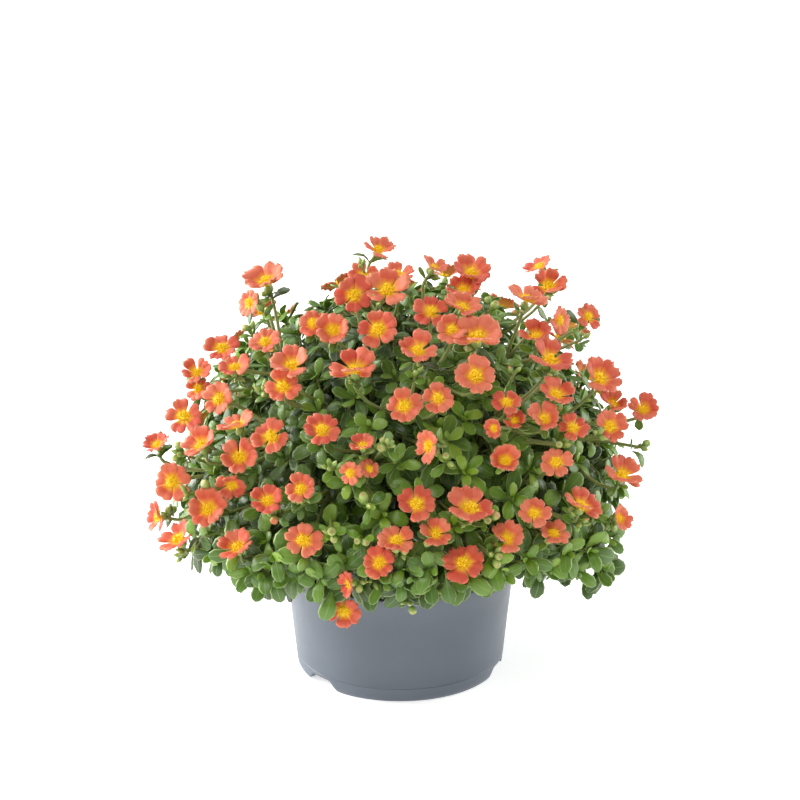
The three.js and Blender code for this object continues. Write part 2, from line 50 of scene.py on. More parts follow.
# All lengths are in millimetres round the pot's axis, until a mesh is written in metres.
MM = 0.001
POT_LOW, POT_HIGH = (Vector(corner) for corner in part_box("pot"))
POT_AXIS = Vector(((POT_LOW.x + POT_HIGH.x) / 2, (POT_LOW.y + POT_HIGH.y) / 2, 0))
POT_HEIGHT = (POT_HIGH.z - POT_LOW.z) / MM

# Pot
FOOT_RADIUS = 79.5
BASE_RADIUS = 83
WALL_TOP_RADIUS = 91.8
RIM_RADIUS = 95
RIM_DEPTH = 11
WALL = 1.8
FLOOR_HEIGHT = 10
CORNER_RISE = 7
CREASE = 12
FOOT_WIDTH = 3.4
FOOT_GAP_ANGLES = (-49, 71, 191)
FOOT_GAP_WIDTH = 26
FOOT_GAP_SHOULDER = 9
FOOT_GAP_HEIGHT = 9
DRAIN_HOLES = 6
DRAIN_RING = 48
DRAIN_RADIUS = 4
POT_STEPS = 144
COMPOST_TOP = 83
COMPOST_STEPS = 120
CRUMBS = ((1.1, 9), (0.8, 3.5), (0.4, 1.6))

# Stems, stalks and leaves
STEM_COUNT = 28
STEM_DEPTH = 11
CROWN_RADIUS = 60
STEM_REACH = 0.66
LOWEST_END = 31
PEDUNCLE_START = 2.6
STALK_SPACING = 2.3
GOLDEN_ANGLE = math.pi * (3 - math.sqrt(5))
UP = Vector((0, 0, 1))
RIGHT = Vector((1, 0, 0))

# Mound: half an ellipsoid above its widest level and a flatter half below it
MOUND_LEVEL = 165
MOUND_RADIUS = 205
MOUND_RISE = 190
MOUND_DROP = 105

# The front of the mound is laid out on a square grid, as seen by an eye in front of it. The pot's
# axis meets the ground at GRID_BASE, and one step of the grid spans GRID_STEP there.
EYE = Vector((0, -2000, 932.6))
GRID_BASE = (400, 658)
GRID_MIDDLE = 400
GRID_STEP = 0.81

# Blooms on the front: column, row, width and height on the grid. Where it isn't plain from those,
# the way that the bloom leans follows (degrees, 0 right, 90 up), then how far in it sits.
FRONT_BLOOMS = [
    (267, 284, 52, 32), (250, 303, 24, 32, 170), (222, 349, 39, 30), (265, 343, 37, 28),
    (313, 323, 33, 29), (378, 251, 36, 18, 60), (354, 295, 44, 46), (364, 277, 38, 28, 90, 24),
    (387, 291, 52, 37), (399, 276, 36, 20, 90, 12), (433, 269, 36, 18, 60), (470, 275, 45, 32),
    (431, 312, 41, 31), (462, 309, 42, 28), (463, 291, 38, 24, 90, 14), (334, 331, 39, 37),
    (378, 330, 46, 41), (418, 352, 43, 29), (452, 331, 40, 33), (477, 339, 56, 41), (548, 287, 43, 35),
    (540, 268, 34, 14, 120, 14), (526, 301, 46, 21), (559, 320, 23, 30, 10), (588, 317, 30, 22, 45),
    (549, 361, 55, 30), (536, 338, 38, 24, 90, 22), (197, 373, 35, 26), (235, 368, 35, 25),
    (292, 367, 45, 28), (283, 387, 40, 32), (219, 399, 34, 40), (198, 389, 30, 26, 120, 14),
    (184, 417, 45, 37), (238, 427, 46, 18), (271, 437, 43, 37), (202, 447, 44, 28), (239, 458, 47, 44),
    (158, 446, 33, 20, 110), (172, 482, 41, 40, 200), (232, 484, 36, 28, 270, 22), (322, 431, 45, 37),
    (355, 371, 50, 33), (404, 407, 41, 42), (438, 399, 38, 34), (475, 377, 49, 39),
    (430, 446, 26, 38, 180), (363, 447, 32, 22), (350, 473, 24, 27, 180), (369, 469, 24, 19, 20, 8),
    (598, 379, 48, 33), (643, 410, 36, 32), (507, 403, 33, 25), (495, 428, 22, 26, 180),
    (514, 421, 26, 22, 60, 6), (556, 396, 41, 25), (544, 420, 38, 32), (573, 428, 36, 29),
    (609, 427, 40, 35), (612, 405, 34, 24, 60, 12), (505, 462, 37, 36), (556, 462, 35, 36),
    (622, 476, 44, 32), (208, 510, 43, 42), (160, 517, 20, 37, 175), (180, 540, 47, 24),
    (238, 548, 44, 27), (268, 501, 38, 32), (301, 490, 38, 34), (303, 541, 41, 43), (416, 505, 46, 39),
    (436, 534, 38, 33), (470, 510, 56, 41), (396, 541, 39, 30), (379, 563, 38, 39), (463, 564, 47, 39),
    (351, 584, 20, 35, 195), (344, 611, 38, 37, 300), (507, 540, 40, 31), (534, 514, 37, 31),
    (553, 534, 38, 32), (581, 507, 48, 27), (618, 519, 21, 30, 0),
]
# How a bloom leans and tilts where only its width and height say so: to the side where it is narrow,
# and otherwise up and towards the middle. The tilt's cosine stays in a range.
SIDE_LEAN = 15
COLUMN_LEAN = 0.14
NARROW = 0.93
SLIM = 0.72
TILT_COSINES = (0.3, 0.96)

BLOOM_LATTICE = 80
HIGHEST_BLOOM = 1
LOWEST_BACK_BLOOM = -0.35
BACK_BLOOM_RADIUS = 17
CREST_START = 0.17
CREST_WIDTH = 0.45
CREST_SINK = 0.16

# Leaf whorls that hang over the rim and along the foot of the mound, on the same grid
FRINGE = [
    (322, 578), (358, 580), (384, 582), (410, 582), (436, 580), (466, 577), (500, 570), (294, 574),
    (266, 574), (250, 568), (214, 555), (546, 566), (574, 570), (600, 570), (604, 554), (345, 572),
    (376, 568), (404, 570), (430, 568), (455, 566), (490, 560), (306, 556), (276, 556), (236, 552),
    (196, 540), (526, 560), (563, 552), (588, 550), (608, 537),
]
FRINGE_GAP = 15

# How far before the middle of the mound the search along a sight line starts
MOUND_SEARCH = 320
FRINGE_SEARCH = 350

# Single leaves that hang from the fringe, from root to tip, on the same grid
HANGING_LEAVES = [
    ((332, 590), (324, 621)), ((366, 582), (372, 612)), ((318, 582), (309, 602)),
    ((274, 576), (281, 603)), ((264, 576), (255, 602)), ((446, 578), (451, 604)),
    ((430, 579), (433, 605)), ((398, 582), (402, 602)), ((585, 575), (588, 600)),
    ((596, 570), (611, 586)), ((540, 572), (535, 599)), ((482, 574), (487, 598)),
    ((222, 556), (216, 577)), ((236, 566), (240, 590)),
]

# The ragged lower edge of the leaves at the front, on the same grid
FOOT_LINE = [
    (130, 556), (216, 574), (246, 594), (290, 600), (330, 602), (380, 606), (440, 606), (500, 599),
    (530, 588), (570, 584), (600, 598), (625, 574), (680, 556),
]

# Heads of green buds and seed capsules, on the same grid
BUD_HEADS = [
    (262, 308), (247, 327), (262, 390), (362, 262), (377, 300), (416, 371), (387, 445), (330, 467),
    (448, 458), (207, 487), (185, 493), (178, 557), (178, 452), (272, 515), (300, 503), (488, 518),
    (583, 523), (495, 557), (360, 540), (367, 505), (372, 582), (442, 592), (408, 604), (565, 443),
    (599, 433), (555, 373), (516, 371), (492, 305), (585, 335), (645, 445), (402, 552), (330, 533),
]

# Bud heads below this row hang with the fringe. Leaves keep this far from the sight of a bud head.
HANGING_ROW = 575
BUD_ROOM = 26

# Places at the front where the leaves stand further out, with painted light, or further in, in hollows,
# with
# painted shade: column, row and radius on the same grid, and how far out they stand, below zero in hollows
FULL_AND_HOLLOW_PLACES = [
    (278, 472, 40, -0.9), (335, 345, 50, -0.7), (425, 330, 35, -0.4), (175, 490, 60, -0.5),
    (430, 435, 50, 0.6), (365, 485, 35, 0.3), (325, 525, 30, 0.5), (478, 525, 35, 0.7),
    (400, 525, 35, 0.3), (575, 525, 30, 0.5), (290, 580, 35, -0.5), (350, 582, 35, -0.4),
    (410, 582, 35, -0.5),
]
# How far out the leaves stand per unit, as a share of the mound, and the painted light per unit, painted
# shade below zero
FULLNESS_REACH = 0.02
FULLNESS_PAINTED_LIGHT = 0.42

# Leaves and shoots, beyond the ones that carry the blooms
LEAF_SEED = 12
BLOOM_SEED = 1000
# Shoots: how many, from how high to how low and from which turn. Then how far out the inner ones reach,
# and how many rows above the lower edge of the leaves a shoot has to stay.
OUTER_SHOOTS = (270, 1, -0.8)
INNER_SHOOTS = (225, 0.95, -0.85, 2)
CORE_SHOOTS = (95, 0.8, -0.5, 4)
INNER_REACH = (0.42, 0.76)
CORE_REACH = (0.16, 0.42)
OUTER_MARGIN = 22
INNER_MARGIN = 16
# Rows below the edge that leaf tips may reach
TIP_PLAY = (0, 3, 5, 8)
WHORL_LEAVES = 8
LEAF_LENGTH = 23.5
LEAF_WIDTH = 13.7
STAMENS = 34

# Painted shade: the deeper in the mound or the lower down a leaf grows, the darker its colour
SHADE_START = 0.84
DEEP_SHADE = 0.9
LOW_SHADE = 0.65

# How leaves keep clear: out from the rim and above it, of a bloom below and above its face, and of the
# share of a bloom's radius and of its outline on the grid
RIM_ROOM = 2.5
RIM_HEADROOM = 4
BLOOM_ROOM = (-2.5, 12)
BLOOM_SHARE = 0.9
OUTLINE_SHARE = 0.45


# Layout of the mound

Bloom = namedtuple("Bloom", "centre facing radius slim")
Stem = namedtuple("Stem", "middle end heading path")


def scatter(kind, index):
    """Repeatable scatter between 0 and 1 for a place in the plant."""
    value = math.sin(kind * 127.1 + index * 311.7) * 43758.5453
    return value - math.floor(value)


def mound_reach(height):
    return MOUND_RISE if height > 0 else MOUND_DROP


def mound_point(climb, turn, share):
    """A point by its share of the way to the top or bottom, its turn from the front and its depth."""
    flat = math.sqrt(1 - climb * climb) * MOUND_RADIUS * share
    rise = climb * mound_reach(climb) * share
    return Vector((flat * math.sin(turn), -flat * math.cos(turn), MOUND_LEVEL + rise))


def mound_normal(point):
    height = point.z - MOUND_LEVEL
    wide, high = MOUND_RADIUS**2, mound_reach(height) ** 2
    return Vector((point.x / wide, point.y / wide, height / high)).normalized()


def mound_depth(point):
    height = point.z - MOUND_LEVEL
    return math.hypot(point.x / MOUND_RADIUS, point.y / MOUND_RADIUS, height / mound_reach(height))


BASE_DROP = GRID_BASE[1] - GRID_MIDDLE
FOCUS = math.sqrt((EYE.length / GRID_STEP) ** 2 - BASE_DROP**2)
EYE_PITCH = math.atan2(EYE.z, -EYE.y) - math.atan(BASE_DROP / FOCUS)
EYE_FORWARD = Vector((0, math.cos(EYE_PITCH), -math.sin(EYE_PITCH)))
EYE_UP = Vector((0, math.sin(EYE_PITCH), math.cos(EYE_PITCH)))


def sight_line(column, row):
    sight = EYE_FORWARD * FOCUS + RIGHT * (column - GRID_MIDDLE) + EYE_UP * (GRID_MIDDLE - row)
    return sight.normalized()


def sight_points(column, row, search):
    sight = sight_line(column, row)
    for step in range(2 * search):
        yield EYE + sight * (EYE.length - search + step)


def mound_hit(column, row):
    """The point where a sight line first meets the mound, or comes nearest to it."""
    best, nearest = None, math.inf
    for point in sight_points(column, row, MOUND_SEARCH):
        depth = mound_depth(point)
        if depth < nearest:
            best, nearest = point, depth
        if depth <= 1:
            break
    return best


def front_bloom(column, row, width, height, lean=None, inset=0):
    sight = sight_line(column, row)
    centre = mound_hit(column, row) + sight * inset
    scale = (centre - EYE).dot(EYE_FORWARD) / FOCUS
    if lean is None:
        sideways = 180 - SIDE_LEAN if column < GRID_BASE[0] else SIDE_LEAN
        upward = 90 + (GRID_BASE[0] - column) * COLUMN_LEAN
        lean = sideways if width < height * NARROW else upward
    way = math.radians(lean)
    least, most = TILT_COSINES
    tilt = math.acos(min(max(min(width, height) / max(width, height), least), most))
    facing = RIGHT * math.sin(tilt) * math.cos(way) + EYE_UP * math.sin(tilt) * math.sin(way)
    facing = (facing - sight * math.cos(tilt)).normalized()
    slim = min(width, height) < SLIM * max(width, height)
    return Bloom(centre, facing, max(width, height) / 2 * scale, slim)


def back_blooms():
    """Blooms on the far side, which face out and a little up. Those close behind the crest sit lower."""
    blooms = []
    for i in range(BLOOM_LATTICE):
        climb = HIGHEST_BLOOM + (LOWEST_BACK_BLOOM - HIGHEST_BLOOM) * (i + 0.5) / BLOOM_LATTICE
        turn = GOLDEN_ANGLE * i + 0.3 * (scatter(1, i) - 0.5)
        spot = mound_point(climb, turn, 1)
        seen = mound_normal(spot).dot((EYE - spot).normalized())
        if seen > -CREST_START:
            continue
        sink = CREST_SINK if seen > -CREST_WIDTH else 0
        centre = mound_point(climb, turn, 1.01 - 0.05 * scatter(2, i) - sink)
        facing = (mound_normal(centre) + Vector((0, 0, 0.4))).normalized()
        radius = BACK_BLOOM_RADIUS * (0.88 + 0.24 * scatter(3, i))
        blooms.append(Bloom(centre, facing, radius, False))
    return blooms


def leaf_facing(point):
    """The way that leaves face: out and a little up, even on the underside of the mound."""
    normal = mound_normal(point)
    normal.z = max(normal.z, -0.3) + 0.25
    return normal.normalized()


def fringe_point(column, row):
    """A point over the rim in front of the pot, or on the foot of the mound beside it."""
    for point in sight_points(column, row, FRINGE_SEARCH):
        if math.hypot(point.x, point.y) < RIM_RADIUS + FRINGE_GAP or mound_depth(point) < 0.97:
            return point
    return mound_hit(column, row)


def nearest_index(points, point):
    distances = [(other - point).length for other in points]
    return distances.index(min(distances))


def spray_middles(blooms):
    """Each spray's middle is drawn to the middle of the blooms that are nearest to it."""
    ends = [blooms[int((i + 0.5) * len(blooms) / STEM_COUNT)].centre.copy() for i in range(STEM_COUNT)]
    for _ in range(12):
        groups = [[] for _ in ends]
        for bloom in blooms:
            groups[nearest_index(ends, bloom.centre)].append(bloom.centre)
        ends = [sum(group, end.copy()) / (len(group) + 1) for end, group in zip(ends, groups)]
    return ends


def stem_layout(blooms):
    """Each stem stands in the compost below its end, nearer the rim the lower it reaches."""
    stems = []
    for middle in spray_middles(blooms):
        end = Vector((0, 0, MOUND_LEVEL)).lerp(middle, STEM_REACH)
        end.z = max(end.z, COMPOST_TOP + LOWEST_END)
        turn = math.atan2(end.x, -end.y)
        climb = (end.z - MOUND_LEVEL) / (STEM_REACH * MOUND_RISE)
        spread = min(max((1 - climb) / 1.45, 0.02), 1)
        out = CROWN_RADIUS * math.sqrt(spread)
        foot = Vector((out * math.sin(turn), -out * math.cos(turn), COMPOST_TOP - STEM_DEPTH))
        knee = foot.lerp(end, 0.45)
        knee.z = max(knee.z + 14 * spread, COMPOST_TOP + LOWEST_END)
        neck = Vector((foot.x, foot.y, COMPOST_TOP + 6))
        arm = knee.lerp(end, 0.55) + UP * 0.05 * (end - knee).length
        heading = (end - arm).normalized()
        stems.append(Stem(middle, end, heading, [foot, neck, knee, arm, end]))
    return stems


BLOOMS = [front_bloom(*row) for row in FRONT_BLOOMS] + back_blooms()
STEMS = stem_layout(BLOOMS)
MIDDLES = [stem.middle for stem in STEMS]


# Shader maths

def shade(red, green, blue):
    """A colour given as it looks on a screen, 0 to 255, in the linear values that shaders take."""
    def linear(value):
        value /= 255
        return value / 12.92 if value <= 0.04045 else ((value + 0.055) / 1.055) ** 2.4
    return (linear(red), linear(green), linear(blue), 1)


class Wire:
    """An output socket, so that an expression on it adds the nodes that work it out."""

    def __init__(self, look, socket):
        self.look = look
        self.socket = socket

    def other(self, output):
        return Wire(self.look, self.socket.node.outputs[output])

    def math(self, operation, *others):
        inputs = dict(enumerate([self, *others]))
        return self.look.node("Math", {"operation": operation}, inputs)

    def __add__(self, other):
        return self.math("ADD", other)

    def __sub__(self, other):
        return self.math("SUBTRACT", other)

    def __mul__(self, other):
        return self.math("MULTIPLY", other)


class Look:
    """A material with one shader. Every other node comes from one method."""

    def __init__(self, name):
        self.material = bpy.data.materials.new(name)
        self.material.use_nodes = True
        self.nodes = self.material.node_tree.nodes
        self.links = self.material.node_tree.links
        self.shader = self.nodes["Principled BSDF"]

    def node(self, kind, settings, inputs, output=0):
        made = self.nodes.new("ShaderNode" + kind)
        for name, value in settings.items():
            if name == "stops":
                set_stops(made.color_ramp, value)
            else:
                setattr(made, name, value)
        for key, value in inputs.items():
            self.feed(made.inputs[key], value)
        return Wire(self, made.outputs[output])

    def feed(self, socket, value):
        if isinstance(value, Wire):
            self.links.new(value.socket, socket)
        else:
            socket.default_value = value

    def finish(self, body, roughness, normal, **sockets):
        sockets.update(base_color=body, roughness=roughness, normal=normal)
        for name, value in sockets.items():
            self.feed(self.shader.inputs[name.replace("_", " ").title()], value)
        return self.material

    def ramp(self, value, *stops):
        """A colour that follows a number through stops of position, red, green and blue."""
        stops = [(place, shade(*colour)) for place, *colour in stops]
        return self.node("ValToRGB", {"stops": stops}, {0: value})

    def level(self, value, *stops):
        """A number that follows another through stops of position and height."""
        stops = [(place, (height, height, height, 1)) for place, height in stops]
        return self.node("ValToRGB", {"stops": stops}, {0: value})

    def mix(self, share, first, second):
        return self.node("Mix", {"data_type": "RGBA"}, {0: share, 6: first, 7: second}, 2)

    def tone(self, body, colour, share, *stops):
        """A colour turned partly to another, by a share or by a level that follows it through stops."""
        return self.mix(self.level(share, *stops) if stops else share, body, shade(*colour))

    def speckle(self, scale, detail, roughness=0.5):
        place = self.node("TexCoord", {}, {}, "Object")
        inputs = {"Vector": place, "Scale": scale, "Detail": detail, "Roughness": roughness}
        return self.node("TexNoise", {}, inputs, "Fac")

    def stripes(self, scale, distortion, detail_scale, *place):
        place = self.node("CombineXYZ", {}, dict(enumerate(place)))
        inputs = {"Vector": place, "Scale": scale, "Distortion": distortion, "Detail Scale": detail_scale}
        return self.node("TexWave", {"bands_direction": "X"}, inputs, "Fac")

    def bump(self, height, strength, distance):
        inputs = {"Height": height, "Strength": strength, "Distance": distance}
        return self.node("Bump", {}, inputs)

    def grain(self):
        """Across and along a blade, its tint, and whether it is the underside, each 0 to 1. A leaf's tint
        holds painted shade and painted light as well as its own age.
        """
        grain = self.node("Attribute", {"attribute_name": "grain"}, {}, "Vector")
        across = self.node("SeparateXYZ", {}, {0: grain})
        under = self.node("Attribute", {"attribute_name": "under"}, {}, "Fac")
        return across, across.other(1), across.other(2), under


def set_stops(ramp, stops):
    while len(ramp.elements) < len(stops):
        ramp.elements.new(1)
    for element, (position, colour) in zip(ramp.elements, stops):
        element.position = position
        element.color = colour


def leaf_look():
    look = Look("fleshy leaf")
    across, along, tint, under = look.grain()
    side = (across - 0.5).math("ABSOLUTE") * 2
    # The tint picks a green from dark to light: the leaf's own age, with painted shade deep in and low
    # down, and painted light where the leaves stand out
    body = look.ramp(tint, (0, 34, 56, 8), (0.3, 72, 108, 14), (0.7, 108, 146, 26), (1, 148, 182, 44))
    body = look.tone(body, (66, 104, 30), look.speckle(80, 4) * 0.35)
    body = look.tone(body, (94, 127, 54), look.speckle(16, 2), (0.48, 0), (0.64, 0.5))
    body = look.tone(body, (138, 168, 84), side, (0, 0.5), (0.09, 0))
    body = look.tone(body, (172, 192, 108), side, (0.84, 0), (0.95, 0.72))
    body = look.tone(body, (150, 171, 88), along, (0, 0.6), (0.2, 0))
    body = look.tone(body, (124, 157, 64), under * 0.5)
    rough = look.level(look.speckle(240, 2), (0.3, 0.34), (0.7, 0.47))
    return look.finish(
        body, rough, look.bump(look.speckle(380, 3), 0.14, 0.0006), subsurface_weight=0.14,
        subsurface_radius=(0.0016, 0.003, 0.0006), coat_weight=0.13, coat_roughness=0.34,
    )


def stem_look():
    look = Look("olive stem")
    body = look.ramp(look.speckle(28, 3), (0.36, 112, 132, 62), (0.62, 140, 148, 82), (0.8, 144, 116, 78))
    body = look.tone(body, (168, 170, 110), look.speckle(200, 2) * 0.3)
    return look.finish(body, 0.45, look.bump(look.speckle(500, 2), 0.15, 0.0005))


def bud_look():
    look = Look("green bud")
    across, along, tint, _ = look.grain()
    body = look.ramp(
        along, (0, 112, 141, 62), (0.5, 146, 168, 82), (0.94, 182, 190, 108), (1, 190, 132, 88),
    )
    body = look.tone(body, (104, 140, 70), look.stripes(3, 0.6, 1, across), (0.6, 0), (1, 0.45))
    flush = look.level(tint, (0.92, 0), (0.95, 0.8)) * look.level(along, (0.6, 0), (0.9, 1))
    body = look.tone(body, (224, 104, 66), flush)
    return look.finish(body, 0.42, look.bump(look.speckle(500, 2), 0.1, 0.0005))


def petal_look():
    look = Look("coral petal")
    across, along, tint, under = look.grain()
    side = (across - 0.5).math("ABSOLUTE") * 2
    reach = along + (look.speckle(170, 3) - 0.5) * 0.14
    face = look.ramp(
        reach, (0, 240, 198, 20), (0.3, 238, 188, 22), (0.42, 232, 142, 34),
        (0.55, 210, 80, 46), (0.78, 216, 98, 62), (1, 234, 134, 96),
    )
    back = look.ramp(reach, (0, 224, 180, 62), (0.4, 230, 150, 66), (0.75, 226, 120, 76), (1, 232, 136, 98))
    # Lighter salmon mottling placed at random, more toward the tip, which stands in for highlights: painted
    # highlight
    painted_highlight_patches = look.level(look.speckle(90, 2), (0.46, 0), (0.66, 0.7)) * along
    body = look.mix(under, look.tone(face, (231, 130, 102), painted_highlight_patches), back)
    veins = look.stripes(4.6, 1.4, 2, across, along * 0.15)
    vein_share = look.level(veins, (0.6, 0), (1, 0.45)) * look.level(along, (0.3, 0), (0.5, 1))
    body = look.tone(body, (198, 64, 42), vein_share)
    body = look.tone(body, (240, 152, 120), along, (0.92, 0), (1, 0.6))
    body = look.tone(body, (240, 148, 114), side, (0.85, 0), (1, 0.5))
    outer = look.level(along, (0.35, 0), (0.6, 1))
    body = look.tone(body, (202, 66, 44), look.level(tint, (0, 0.6), (0.4, 0)) * outer)
    body = look.tone(body, (234, 140, 104), look.level(tint, (0.6, 0), (1, 0.45)) * outer)
    return look.finish(
        body, 0.6, look.bump(veins, 0.3, 0.0005), subsurface_weight=0.1,
        subsurface_radius=(0.002, 0.001, 0.0006), sheen_weight=0.1, sheen_roughness=0.5,
        # Painted light: the petals glow a little, most on their undersides, in place of light shining
        # through them
        emission_color=look.mix(under * 0.75 + 0.25, (0, 0, 0, 1), body), emission_strength=0.15,
    )


def stamen_look():
    look = Look("yellow stamen")
    body = look.ramp(look.speckle(900, 2), (0.35, 230, 184, 10), (0.65, 248, 216, 38))
    grain = look.bump(look.speckle(1500, 2), 0.2, 0.0002)
    # Painted light: the stamens glow a little, to lift their shade and in place of light shining through
    # them
    return look.finish(body, 0.6, grain, emission_color=body, emission_strength=0.2)


def pot_look():
    look = Look("blue-grey moulded plastic")
    body = look.ramp(look.speckle(14, 2), (0.35, 91, 99, 109), (0.65, 96, 104, 115))
    rough = look.level(look.speckle(60, 4), (0.3, 0.33), (0.7, 0.43))
    return look.finish(body, rough, look.bump(look.speckle(900, 3), 0.08, 0.0004))


def compost_look():
    look = Look("potting compost")
    crumb = look.speckle(260, 6, 0.7)
    body = look.ramp(crumb, (0.3, 30, 22, 16), (0.55, 56, 42, 30), (0.8, 96, 76, 54))
    return look.finish(body, 0.95, look.bump(crumb, 0.6, 0.002))


LOOKS = {
    "leaf": leaf_look(), "stem": stem_look(), "bud": bud_look(), "petal": petal_look(),
    "stamen": stamen_look(),
}


# Forms that repeat. Each is modelled once, 1 long from its root along X and facing up, and copied.

def select_only(*pieces):
    bpy.ops.object.select_all(action="DESELECT")
    for piece in pieces:
        piece.select_set(True)
    bpy.context.view_layer.objects.active = pieces[0]


def add_object(name, data):
    piece = bpy.data.objects.new(name, data)
    bpy.context.collection.objects.link(piece)
    return piece


def mode(name):
    bpy.ops.object.mode_set(mode=name)


def select_points(piece, test):
    """Selects the vertices that pass a test, in edit mode."""
    mesh = bmesh.from_edit_mesh(piece.data)
    for point in mesh.verts:
        point.select_set(test(point))
    bmesh.update_edit_mesh(piece.data)


def widen(piece, x, wide, high, lift=0):
    """Sets the width and height of one ring or row of a piece, and lifts it."""
    select_points(piece, lambda point: abs(point.co.x - x) < 1e-3)
    bpy.ops.transform.resize(value=(1, wide, high), center_override=(x, 0, 0))
    bpy.ops.transform.translate(value=(0, 0, lift))


def push(piece, test, step):
    select_points(piece, test)
    bpy.ops.transform.translate(value=step)


class Form:
    """A shape to copy: its vertices, its faces and the grain over them."""

    def __init__(self, piece, look, grain):
        mode("OBJECT")
        mesh = piece.data
        self.look = look
        self.points = np.array([vertex.co[:] for vertex in mesh.vertices])
        self.sizes = np.array([len(face.vertices) for face in mesh.polygons])
        self.corners = np.array([corner for face in mesh.polygons for corner in face.vertices])
        self.grain = np.array(grain)
        bpy.data.objects.remove(piece)


def ball_radius(x):
    return math.sqrt(max(0.25 - (x - 0.5) ** 2, 0))


def ball(segments, rings):
    """A ball with its poles along X, its root at the origin and its rings ready to be shaped."""
    bpy.ops.mesh.primitive_uv_sphere_add(segments=segments, ring_count=rings, radius=0.5)
    piece = bpy.context.object
    piece.data.transform(Matrix.Translation((0.5, 0, 0)) @ Matrix.Rotation(math.pi / 2, 4, "Y"))
    places = sorted({round(vertex.co.x, 4) for vertex in piece.data.vertices})
    grain = []
    for vertex in piece.data.vertices:
        radius = max(ball_radius(vertex.co.x), 1e-3)
        under = 1 if vertex.co.z < -0.01 else 0
        grain.append((vertex.co.y / radius / 2 + 0.5, vertex.co.x, 0, under))
    mode("EDIT")
    return piece, places[1:-1], grain


# Places along a leaf from its root, its half width there, and its thickness at the root and belly
LEAF_PLACES = (0, 0.07, 0.25, 0.5, 0.72, 0.92, 1)
LEAF_HALF_WIDTHS = (0.06, 0.09, 0.23, 0.44, 0.5, 0.32, 0)
LEAF_THICK = 0.036
LEAF_BELLY = 0.012


def leaf_form(arch, fold, twist, segments=8, rings=6):
    """A spoon-shaped fleshy blade, with a dished face and raised edges."""
    piece, places, grain = ball(segments, rings)
    for x in places:
        half = float(np.interp(x, LEAF_PLACES, LEAF_HALF_WIDTHS))
        thick = LEAF_THICK + LEAF_BELLY * math.sin(math.pi * x)
        lift = arch * math.sin(math.pi * min(x, 0.98)) - 0.6 * arch * x * x
        widen(piece, x, half / ball_radius(x), thick / ball_radius(x), lift)
    push(piece, lambda point: point.co.y > 0.18, (0, 0, fold + twist))
    push(piece, lambda point: point.co.y < -0.18, (0, 0, fold - twist))
    push(piece, lambda point: point.co.x > 0.99, (0, 0, -0.4 * arch))
    return Form(piece, "leaf", grain)


# Half width and lift of a petal at each of its rows. Across its tip, in four kinds of petal, how far each
# column is drawn back and how much it waves.
PETAL_HALF_WIDTHS = (0.07, 0.14, 0.25, 0.37, 0.47, 0.53, 0.51, 0.38)
PETAL_LIFTS = (0, 0.1, 0.24, 0.42, 0.6, 0.8, 0.95, 1)
PETAL_THICK = 0.016
PETAL_SKEW = 0.14
PETAL_RUFFLE = 0.08
PETAL_TIPS = (
    (-0.05, 0, 0.02, -0.02, -0.11, -0.03, 0.02, 0, -0.05),
    (-0.08, -0.02, 0.02, 0.02, -0.05, -0.02, 0.03, 0, -0.05),
    (-0.05, 0.02, 0, -0.06, -0.03, 0.02, 0.01, -0.03, -0.09),
    (-0.1, -0.03, 0, 0.03, 0.01, -0.06, 0, 0.02, -0.04),
)
PETAL_FOLDS = (-0.02, 0, 0.025, 0.01, -0.04, 0.01, 0.025, 0, -0.02)
PETAL_WAVES = (
    (1, -0.6, 0.8, -0.3, 0.4, -0.7, 1, -0.8, 0.5),
    (-0.7, 0.9, -0.2, 0.7, -0.5, 0.2, -0.8, 1, -0.6),
    (0.4, 0.9, -0.9, 0.2, 0.7, -0.4, 0.6, -0.9, 0.8),
    (-0.5, 0.4, 0.9, -0.8, 0.1, 0.9, -0.6, 0.5, -1),
)


def petal_form(cup, recurve, tip, waves):
    """A broad petal with two lobes and a ruffled edge, in a thin shell."""
    rows, columns = len(PETAL_LIFTS), len(tip)
    bpy.ops.mesh.primitive_grid_add(x_subdivisions=rows - 1, y_subdivisions=columns - 1, size=1)
    piece = bpy.context.object
    piece.data.transform(Matrix.Translation((0.5, 0, 0)))
    grain = [(point.co.y + 0.5, point.co.x, 0, 0) for point in piece.data.vertices]
    mode("EDIT")
    for row, (half, lift) in enumerate(zip(PETAL_HALF_WIDTHS, PETAL_LIFTS)):
        widen(piece, row / (rows - 1), 2 * half, 1, cup * lift - recurve * max(row - 5, 0) / 2)
    for column, (pull, fold, wave) in enumerate(zip(tip, PETAL_FOLDS, waves)):
        skew = PETAL_SKEW * (column / (columns - 1) - 0.5)
        push(piece, lambda point: point.index // rows == column and point.index % rows >= 2, (0, 0, fold))
        for first, share in ((3, 0.15), (5, 0.3), (7, 0.55)):
            step = (pull * max(share - 0.15, 0) / 0.55, 0, PETAL_RUFFLE * wave * share + skew / 3)
            push(piece, lambda point: point.index // rows == column and point.index % rows >= first, step)
    mode("OBJECT")
    shell = piece.modifiers.new("thickness", "SOLIDIFY")
    shell.thickness = PETAL_THICK
    bpy.ops.object.modifier_apply(modifier=shell.name)
    under = [(across, along, 0, 1) for across, along, _, _ in grain]
    return Form(piece, "petal", grain + under)


def petal_forms(cup, step, recurve):
    """Four kinds of petal, each more cupped than the one before."""
    edges = enumerate(zip(PETAL_TIPS, PETAL_WAVES))
    return [petal_form(cup + step * k, recurve, *edge) for k, edge in edges]


